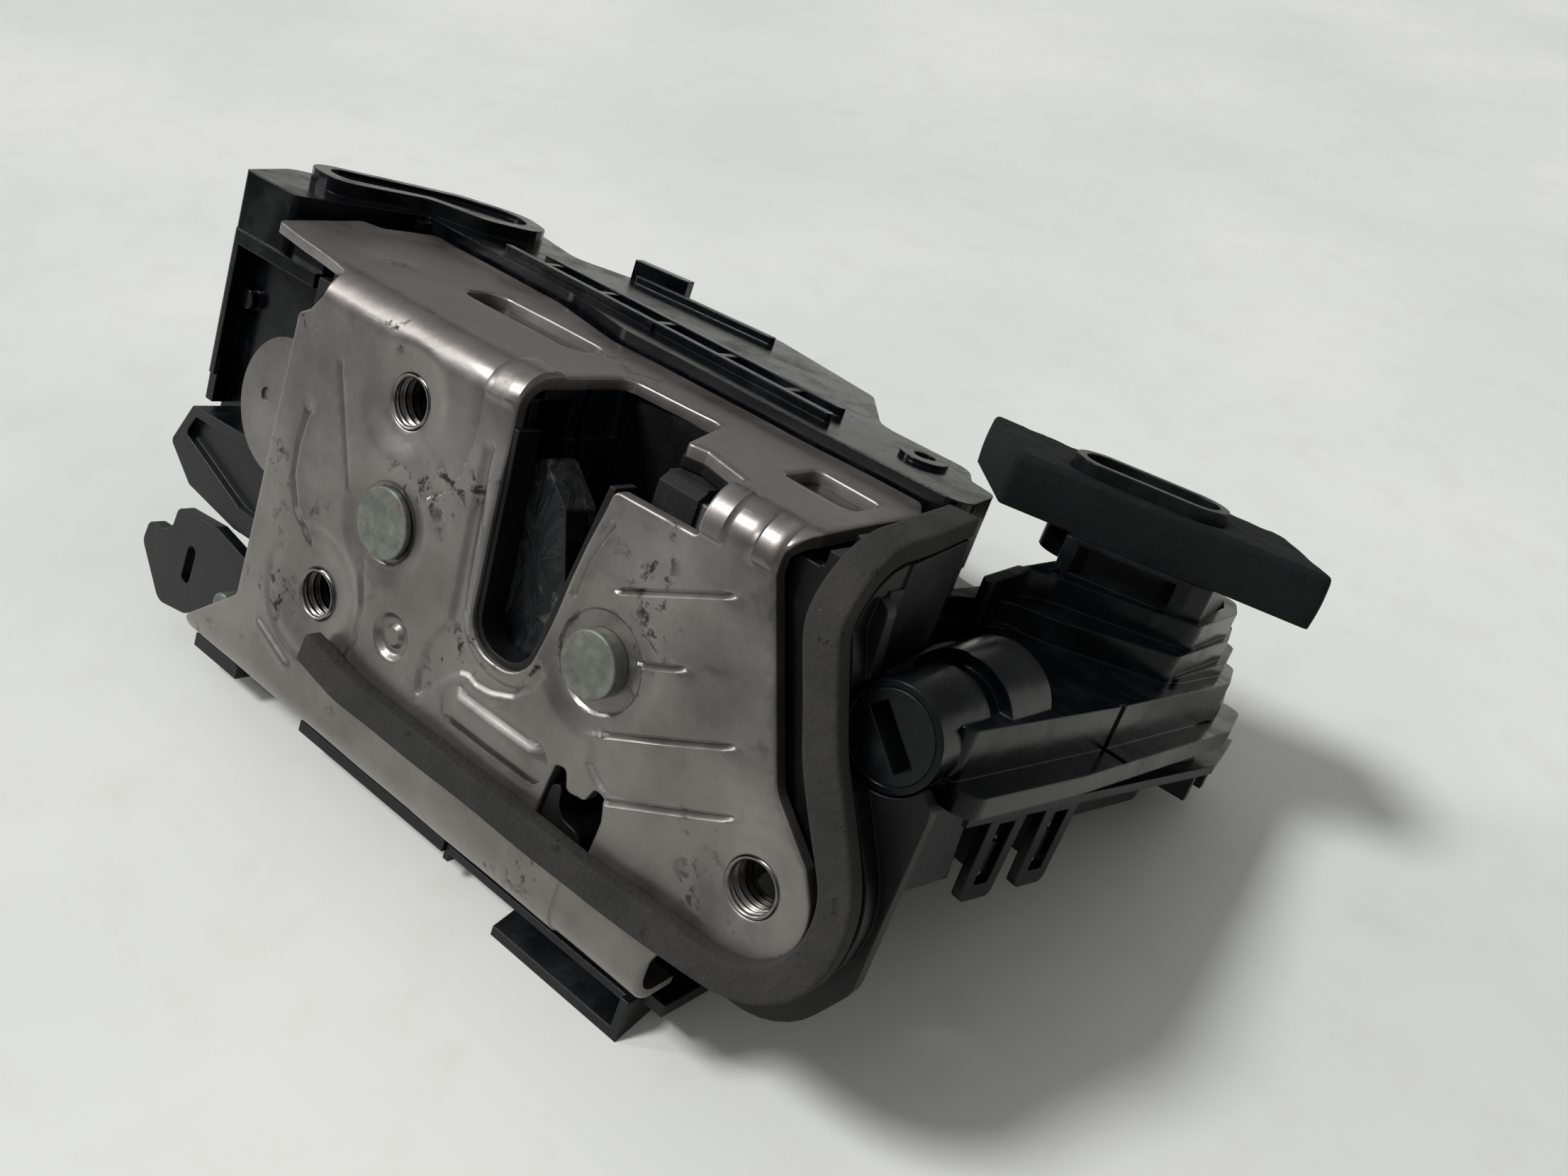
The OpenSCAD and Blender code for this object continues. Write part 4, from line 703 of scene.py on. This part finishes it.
# %% Net of the front
FINE, EDGE_STEP, GUIDE_STEP, EDGE_GAP = 0.3, 0.45, 0.35, 0.52
grid_x, grid_s = np.meshgrid(np.arange(-51.5, 86.5, FINE), np.arange(-65.4, 52.2, FINE), indexing="ij")
heights = relief(grid_x, grid_s)
curve = np.zeros_like(heights)
curve[1:-1, 1:-1] = (np.abs(heights[2:, 1:-1] - 2 * heights[1:-1, 1:-1] + heights[:-2, 1:-1])
                     + np.abs(heights[1:-1, 2:] - 2 * heights[1:-1, 1:-1] + heights[1:-1, :-2])) / FINE**2
row, column = np.indices(curve.shape)
second, fourth = (row % 2 == 0) & (column % 2 == 0), (row % 4 == 0) & (column % 4 == 0)
keep = (curve > 0.20) | ((curve > 0.04) & second) | fourth
bends = ((grid_s > FACE_TOP) & (grid_s < FOLD_END)) | ((grid_s < FACE_LOW) & (grid_s > LIP_END))
keep |= bends & (row % 4 == 0) & (column % 2 == 0)
candidates = np.stack([grid_x[keep], grid_s[keep]], 1)

# Rows of points along each sharp feature: line, closed or not, distances of the rows on both sides
NARROW, STEEP = (0.0, 0.18, 0.36, 0.55), (0.0, 0.25, 0.5, 0.75, 1.0)
GUIDES = [(line, False, NARROW) for line in [*CREASES, SCRIBE_LINE, SLOT_GROOVE, MOUTH_GROOVE]] + [
    (LEFT_CRESCENT, False, STEEP), (HOLE_CRESCENT, False, STEEP),
    (PLATEAU, True, (0.1, 0.4, 0.7, 1.0)), (slot_edge, True, (1.4, 1.8, 2.3, 2.8)),
    (FOOT_BEAD, False, (1.2, 1.6, 2.1, 2.6, 3.0)), (CORNER_BEAD, False, (0.3, 0.7, 1.1)),
    (circle(CLAW_PIVOT, 6.0), True, (0.0, 0.22)), (circle(PAWL_PIVOT, 6.9), True, (0.0, 0.22)),
    (circle(BUTTON, 1.6), True, (0.0, 0.3)), (circle(BUTTON, 3.1), True, (0.0, 0.3, 0.6)),
]
for guide, closed, reach in GUIDES:
    near = from_line(candidates[:, 0], candidates[:, 1], guide, closed)
    candidates = candidates[near > reach[-1] + 0.12]
points = [candidates[on_sheet(candidates) & (edge_distance(candidates) > EDGE_GAP)]]
for guide, closed, reach in GUIDES:
    line = stepped(np.array(guide), GUIDE_STEP, closed)
    for offset in sorted({sign * r for r in reach for sign in (1, -1)}):
        beside = moved(line, offset, closed)
        points.append(beside[on_sheet(beside) & (edge_distance(beside) > EDGE_GAP)])


def rings(loops, distances, belongs, edge, slack):
    """Points beside closed loops, on both sides, where they belong and no other edge is nearer."""
    found = []
    for loop in loops:
        for distance in distances:
            for way in (1, -1):
                ring = moved(loop, way * distance)
                found.append(ring[belongs(ring) & (edge(ring) > distance * slack)])
    return found


def net(loops, loose, belongs):
    """Delaunay triangles over closed loops and loose points, where the triangle's middle belongs."""
    vertices = np.concatenate([*loops, *loose])
    edges, first = [], 0
    for loop in loops:
        count = len(loop)
        edges += [(first + i, first + (i + 1) % count) for i in range(count)]
        first += count
    found, _, faces, *_ = delaunay_2d_cdt([tuple(v) for v in vertices], edges, [], 0, 1e-6)
    found, faces = np.array([tuple(v) for v in found]), np.array(faces)
    return found, faces[belongs(found[faces].mean(1))]


cuts = [stepped(line, EDGE_STEP) for line in all_outlines]
points += rings(cuts, (0.06, 0.18, 0.40), on_sheet, edge_distance, 0.93)
front, front_faces = net(cuts, points, on_sheet)
front_height = rolled(front[:, 0], front[:, 1], edge_distance(front))
front_points = sheet_point(front[:, 0], front[:, 1], front_height)
print("plate front", len(front), "points", len(front_faces), "faces")

# %% [markdown]
# The back of the sheet is hidden by the mechanism, so it stays a plain net one sheet thickness behind,
# and walls join the two along every cut.

# %% Back and cut walls
back_grid = np.stack(np.meshgrid(np.arange(-51, 86, 3.0), np.arange(-65, 52, 1.5), indexing="ij"), -1)
back_grid = back_grid.reshape(-1, 2)
back_grid = back_grid[on_sheet(back_grid) & (edge_distance(back_grid) > 0.8)]
back, back_faces = net(cuts, [back_grid], on_sheet)
back_points = sheet_point(back[:, 0], back[:, 1], -SHEET + 0 * back[:, 0])

wall_points, wall_faces, base_index = [], [], 0
for cut in cuts:
    count = len(cut)
    top = sheet_point(cut[:, 0], cut[:, 1], rolled(cut[:, 0], cut[:, 1], np.zeros(count)))
    bottom = sheet_point(cut[:, 0], cut[:, 1], np.full(count, -SHEET))
    wall_points += [top, bottom]
    i = np.arange(count)
    j = (i + 1) % count
    wall_faces.append(base_index + np.stack([i, j, count + j, count + i], 1))
    base_index += 2 * count


# %% [markdown]
# A mesh is three arrays: points, the corners of the faces, and where each face starts. Writing them as
# whole arrays is fast. Points that meet are merged afterwards, and the faces are turned outwards.

# %% Make a mesh
def tube_faces(rows, count):
    """Faces between the rows of a tube; each row has count points, and the last one joins the first."""
    i, j = np.meshgrid(np.arange(rows - 1), np.arange(count), indexing="ij")
    right = (j + 1) % count
    corners = [i * count + j, (i + 1) * count + j, (i + 1) * count + right, i * count + right]
    return np.stack(corners, -1).reshape(-1, 4)


def make_piece(name, groups, material, body, smooth_angle=35.0, merge=0.004):
    """A finished object from groups of (points in the drawing, faces with equal corner counts).
    Points nearer than merge, in mm, become one, and edges sharper than smooth_angle stay sharp."""
    points, corners, starts, offset, corner_count = [], [], [], 0, 0
    for group_points, faces in groups:
        faces = np.asarray(faces) + offset
        points.append(np.reshape(group_points, (-1, 3)))
        corners.append(faces.ravel())
        starts.append(corner_count + np.arange(len(faces)) * faces.shape[1])
        corner_count += faces.size
        offset += len(points[-1])
    points, corners = to_bench(np.concatenate(points)), np.concatenate(corners)
    starts = np.concatenate(starts)
    mesh = bpy.data.meshes.new(name)
    mesh.vertices.add(len(points))
    mesh.vertices.foreach_set("co", points.ravel())
    mesh.loops.add(len(corners))
    mesh.loops.foreach_set("vertex_index", corners)
    mesh.polygons.add(len(starts))
    mesh.polygons.foreach_set("loop_start", starts)
    mesh.update(calc_edges=True)
    piece = bpy.data.objects.new(name, mesh)
    bpy.context.scene.collection.objects.link(piece)
    bpy.context.view_layer.objects.active = piece
    piece.select_set(True)
    bpy.ops.object.mode_set(mode="EDIT")
    bpy.ops.mesh.select_all(action="SELECT")
    bpy.ops.mesh.remove_doubles(threshold=mm(merge))
    bpy.ops.mesh.normals_make_consistent(inside=False)
    bpy.ops.object.mode_set(mode="OBJECT")
    piece.select_set(False)
    mesh.materials.append(material)
    mesh.shade_smooth()
    mesh.set_sharp_from_angle(angle=math.radians(smooth_angle))
    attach(piece, body)
    print(name, len(mesh.vertices), "points", len(mesh.polygons), "faces")
    return piece


plate = make_piece(
    "pressed_plate",
    [(front_points, front_faces), (back_points, back_faces[:, ::-1]),
     (np.concatenate(wall_points), np.concatenate(wall_faces))],
    plate_steel, "lock_body",
)
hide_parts("latch_plate")

# %% [markdown]
# ## Screw threads
# The three holes are extruded collars with a rolled thread. Rolling leaves it brighter than the plate at
# the mouth. Deeper in, its colour is painted darker as shade, so the finish follows the depth into the
# lock, which is the bench coordinate turned back by the tilt. A thread is a radius that depends on the
# angle and
# the depth together: the depth less the turned fraction of the pitch, folded to a V.

# %% Threaded collars
PITCH, THREAD_DEPTH = 1.25, 0.55
COLLAR_MOUTH, COLLAR_END, COLLAR_WALL = 0.95, 6.8, 1.4
threaded, tree, surface, place = start("thread_shaded_inside", Metallic=0.85, Roughness=0.34)
into_lock = add(tree, "ShaderNodeMapping", {"Vector": place, "Rotation": (REST_TILT, 0, 0)}).outputs[0]
depth = add(tree, "ShaderNodeSeparateXYZ", {0: into_lock}).outputs["Y"]
FRONT_Y = mm(-CENTRE_Y * math.cos(REST_TILT) - REST_DROP * math.sin(REST_TILT))
# Painted shade: the colour turns nearly black from 1.6 to 5 mm into the hole.
painted_depth_shade = spread(tree, depth, FRONT_Y + mm(1.6), FRONT_Y + mm(5.0))
oily = ramp(tree, noise(tree, place, 1.5, 3.0), (0.3, "#6d6a66"), (0.7, "#8b8884"))
tree.links.new(mix(tree, painted_depth_shade, oily, linear("#161412")), surface.inputs["Base Color"])
bump(tree, surface, (noise(tree, place, 0.5, 2.0), 0.01))


def thread_shell(at, around=72, along=70):
    """Inner skin: radius = core + depth · V(depth / pitch − angle); it starts with the rounded lip and
    closes over the end of the collar to a plain outer skin."""
    angle = np.linspace(0, 2 * math.pi, around, endpoint=False)
    lip = np.linspace(0, math.pi / 2, 6)
    lip_r, lip_y = HOLE_R + HOLE_LIP * (1 - np.sin(lip)), COLLAR_MOUTH + HOLE_LIP * (1 - np.cos(lip))
    deep = np.linspace(COLLAR_MOUTH + HOLE_LIP, COLLAR_END, along)
    outer_r = HOLE_R + COLLAR_WALL
    radius = np.concatenate([lip_r, np.full(along, HOLE_R), [outer_r, outer_r, outer_r + 0.5]])
    depth = np.concatenate([lip_y, deep, [COLLAR_END, SHEET + 1.2, SHEET + 0.6]])
    phase = (depth[:, None] / PITCH - angle[None, :] / (2 * math.pi)) % 1.0
    v = 1 - np.abs(phase * 2 - 1)
    cut = np.zeros_like(depth)
    cut[len(lip): len(lip) + along] = ease(np.linspace(0, 12, along)) * ease(np.linspace(12, 0, along))
    r = radius[:, None] + THREAD_DEPTH * ease(v * 1.25) * cut[:, None]
    points = np.stack([at[0] + r * np.cos(angle), depth[:, None] + 0 * r, at[1] + r * np.sin(angle)], -1)
    return points, tube_faces(len(depth), around)


for letter, at in zip("abc", HOLES):
    make_piece("thread_collar_" + letter, [thread_shell(at)], threaded, "lock_body", 50.0)

# %% [markdown]
# ## Foam
# The seal is a square foam strip stuck along the lower edge and up the right side of the plate. A
# profile with rounded corners is carried along its path, so it bends as the strip does. A slow wobble
# in width and a torn left end keep it from looking turned out by a machine.

# %% Path of the seal
def smooth_way(points, spacing, dense_step=0.25, half_window=13):
    """Resamples a chain evenly after rounding it: a running average over a few mm of its own length."""
    points = np.asarray(points, float)
    length = np.concatenate([[0], np.cumsum(np.linalg.norm(np.diff(points, axis=0), axis=1))])
    dense = np.linspace(0, length[-1], int(length[-1] / dense_step))
    line = np.stack([np.interp(dense, length, points[:, k]) for k in range(3)], 1)
    first, last = np.repeat(line[:1], half_window, 0), np.repeat(line[-1:], half_window, 0)
    padded = np.concatenate([first, line, last])
    kernel = np.hanning(2 * half_window + 1)
    kernel = kernel / kernel.sum()
    line = np.stack([np.convolve(padded[:, k], kernel, "same") for k in range(3)], 1)
    return line[half_window:-half_window][:: max(1, int(spacing / dense_step))]


seal_corners = rounded([(-6, -41.6), (4, -43.4, 14), (58, -43, 40), (89.8, -41, 14), (89.2, -23.5, 12),
                        (80.6, -9.5, 10), (74.8, 4.5)], 12)
face_run = np.stack([seal_corners[:, 0], np.full(len(seal_corners), -1.5), seal_corners[:, 1]], 1)
turn = np.linspace(0, math.pi / 2, 16)[1:]
bend_run = np.stack([np.full(len(turn), 74.8), 8 - 9.5 * np.cos(turn), 4.5 + 9.5 * np.sin(turn)], 1)
top_run = np.stack([np.linspace(74.9, 71.8, 12), np.linspace(8, 29.2, 12), np.full(12, 14.0)], 1)[1:]
seal_way = smooth_way(np.concatenate([face_run, bend_run, top_run]), 0.75)
print("seal length mm", round(float(np.linalg.norm(np.diff(seal_way, axis=0), axis=1).sum()), 1))


# %% [markdown]
# The strip lies flat on the plate, so its thin direction is always the plate's own outward direction:
# forward on the face, up on the flange, and in between round the bend.

# %% Seal strip
SEAL_WIDTH, SEAL_THICK = 5.0, 3.0
SQUARE_POWER = 0.28  # a circle's cosine and sine to this power give a square with round corners


def strip_piece(way, width, thick, count=28):
    """Square profile with rounded corners carried along the way: position = way + a·across + b·out."""
    step = np.gradient(way, axis=0)
    step /= np.linalg.norm(step, axis=1)[:, None]
    lean = np.clip((way[:, 2] - 4.5) / 9.5, 0, 1) * (way[:, 0] < 76) * (way[:, 0] > 70)
    out = np.stack([0 * lean, -np.cos(np.arcsin(lean)), lean], 1)
    across = np.cross(step, out)
    across /= np.linalg.norm(across, axis=1)[:, None]
    out = np.cross(across, step)
    t = np.linspace(0, 2 * math.pi, count, endpoint=False)
    a = np.sign(np.cos(t)) * np.abs(np.cos(t)) ** SQUARE_POWER * width / 2
    b = np.sign(np.sin(t)) * np.abs(np.sin(t)) ** SQUARE_POWER * thick / 2
    run = np.arange(len(way))
    wobble = 1 + 0.035 * np.sin(run * 0.21) + 0.025 * np.sin(run * 0.077 + 1)
    swell = 1 - 0.04 * np.abs(np.sin(run * 0.045 + 0.4))
    ring = (way[:, None] + across[:, None] * (a[None, :] * wobble[:, None] * 0.97)[..., None]
            + out[:, None] * (b[None, :] * swell[:, None])[..., None])
    return ring, tube_faces(len(way), count)


def end_cap(ring, tilt, seed):
    """Closes an end with rings that shrink to the middle, and one face over the last ring. A larger
    tilt makes the cut more ragged."""
    random = np.random.default_rng(seed)
    middle = ring.mean(0)
    rows = np.stack([middle + (ring - middle) * k for k in (1, 0.86, 0.6, 0.3, 0.02)])
    rows[1:] += random.normal(0, tilt, rows[1:].shape[:2])[..., None] * (ring[0] - ring[7]) / 20
    count = len(ring)
    hub = ((len(rows) - 1) * count + np.arange(count))[None, :]
    return [(rows, tube_faces(len(rows), count)), (rows, hub)]


strip, strip_faces = strip_piece(seal_way, SEAL_WIDTH, SEAL_THICK)
torn_sides, torn_hub = end_cap(strip[0], 0.4, 3)
cut_sides, cut_hub = end_cap(strip[-1], 0.1, 5)
seal = make_piece("foam_seal", [(strip, strip_faces), torn_sides, cut_sides, torn_hub, cut_hub],
                  foam, "lock_body", 60.0, merge=0.02)
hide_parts("foam_gasket")

# %% [markdown]
# The connector pad is a thick foam block with a slot that the plug goes through. Its top is a net over
# the pad's outline: the distance to the edge rounds it over, with a few low lumps between. Its outer
# side bellies out a little.

# %% Connector pad
PAD_LOW, PAD_HIGH, PAD_ROUND, PAD_BELLY = 9.3, 18.0, 0.9, 0.22
pad_outline = rounded([(61, 65, 1), (108.2, 81, 1), (96, 96, 2), (46, 85, 1)])
collar_turn, collar_mid = math.radians(15), np.array([77.5, 79.5])
arc = np.linspace(-math.pi / 2, math.pi / 2, 13)
bar = np.concatenate([np.stack([7 + 5.5 * np.cos(arc), 5.5 * np.sin(arc)], 1),
                      np.stack([-7 - 5.5 * np.cos(arc), -5.5 * np.sin(arc)], 1)])
turned = np.stack([bar[:, 0] * math.cos(collar_turn) - bar[:, 1] * math.sin(collar_turn),
                   bar[:, 0] * math.sin(collar_turn) + bar[:, 1] * math.cos(collar_turn)], 1)
pad_bore = turned + collar_mid
pad_cuts = [stepped(pad_outline, 1.0), stepped(pad_bore, 1.0)]
pad_grid = np.stack(np.meshgrid(np.arange(45, 109, 1.0), np.arange(64, 97, 1.0), indexing="ij"), -1)
pad_grid = pad_grid.reshape(-1, 2)


def pad_edge(p):
    """Distance from points to the nearest edge of the pad or of its slot."""
    outer_away = from_line(p[:, 0], p[:, 1], pad_outline, closed=True)
    return np.minimum(outer_away, from_line(p[:, 0], p[:, 1], pad_bore, closed=True))


def in_pad(p):
    return inside(p[:, 0], p[:, 1], pad_outline) & ~inside(p[:, 0], p[:, 1], pad_bore)


loose = [pad_grid[in_pad(pad_grid) & (pad_edge(pad_grid) > 1.1)]]
loose += rings(pad_cuts, (0.15, 0.45, 0.85), in_pad, pad_edge, 0.9)
pad_flat, pad_faces = net(pad_cuts, loose, in_pad)
edge = pad_edge(pad_flat)
round_over = PAD_ROUND - np.sqrt(PAD_ROUND**2 - np.clip(PAD_ROUND - edge, 0, PAD_ROUND) ** 2)
lumps = 0.10 * np.sin(pad_flat[:, 0] * 0.5) * np.cos(pad_flat[:, 1] * 0.43)
lumps = lumps + 0.05 * np.sin(pad_flat.sum(1) * 1.1)
pad_top = np.column_stack([pad_flat, PAD_HIGH - 0.15 - round_over - np.abs(lumps)])
pad_under = np.column_stack([pad_flat, PAD_LOW + 0 * edge])
pad_walls = []
for cut, belly in zip(pad_cuts, (PAD_BELLY, 0)):
    outward = -1 if in_pad(moved(cut, 0.3)).mean() > 0.5 else 1
    wall_top = PAD_HIGH - 0.15 - PAD_ROUND
    rows = []
    for level in np.linspace(0, 1, 9):
        ring = moved(cut, outward * belly * math.sin(level * math.pi))
        rows.append(np.column_stack([ring, np.full(len(cut), PAD_LOW + (wall_top - PAD_LOW) * level)]))
    pad_walls.append((np.stack(rows), tube_faces(len(rows), len(cut))))
pad = make_piece("foam_pad", [(pad_top, pad_faces), (pad_under, pad_faces[:, ::-1]), *pad_walls],
                 pad_skin, "lock_body", 60.0, merge=0.12)
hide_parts("connector_pad")
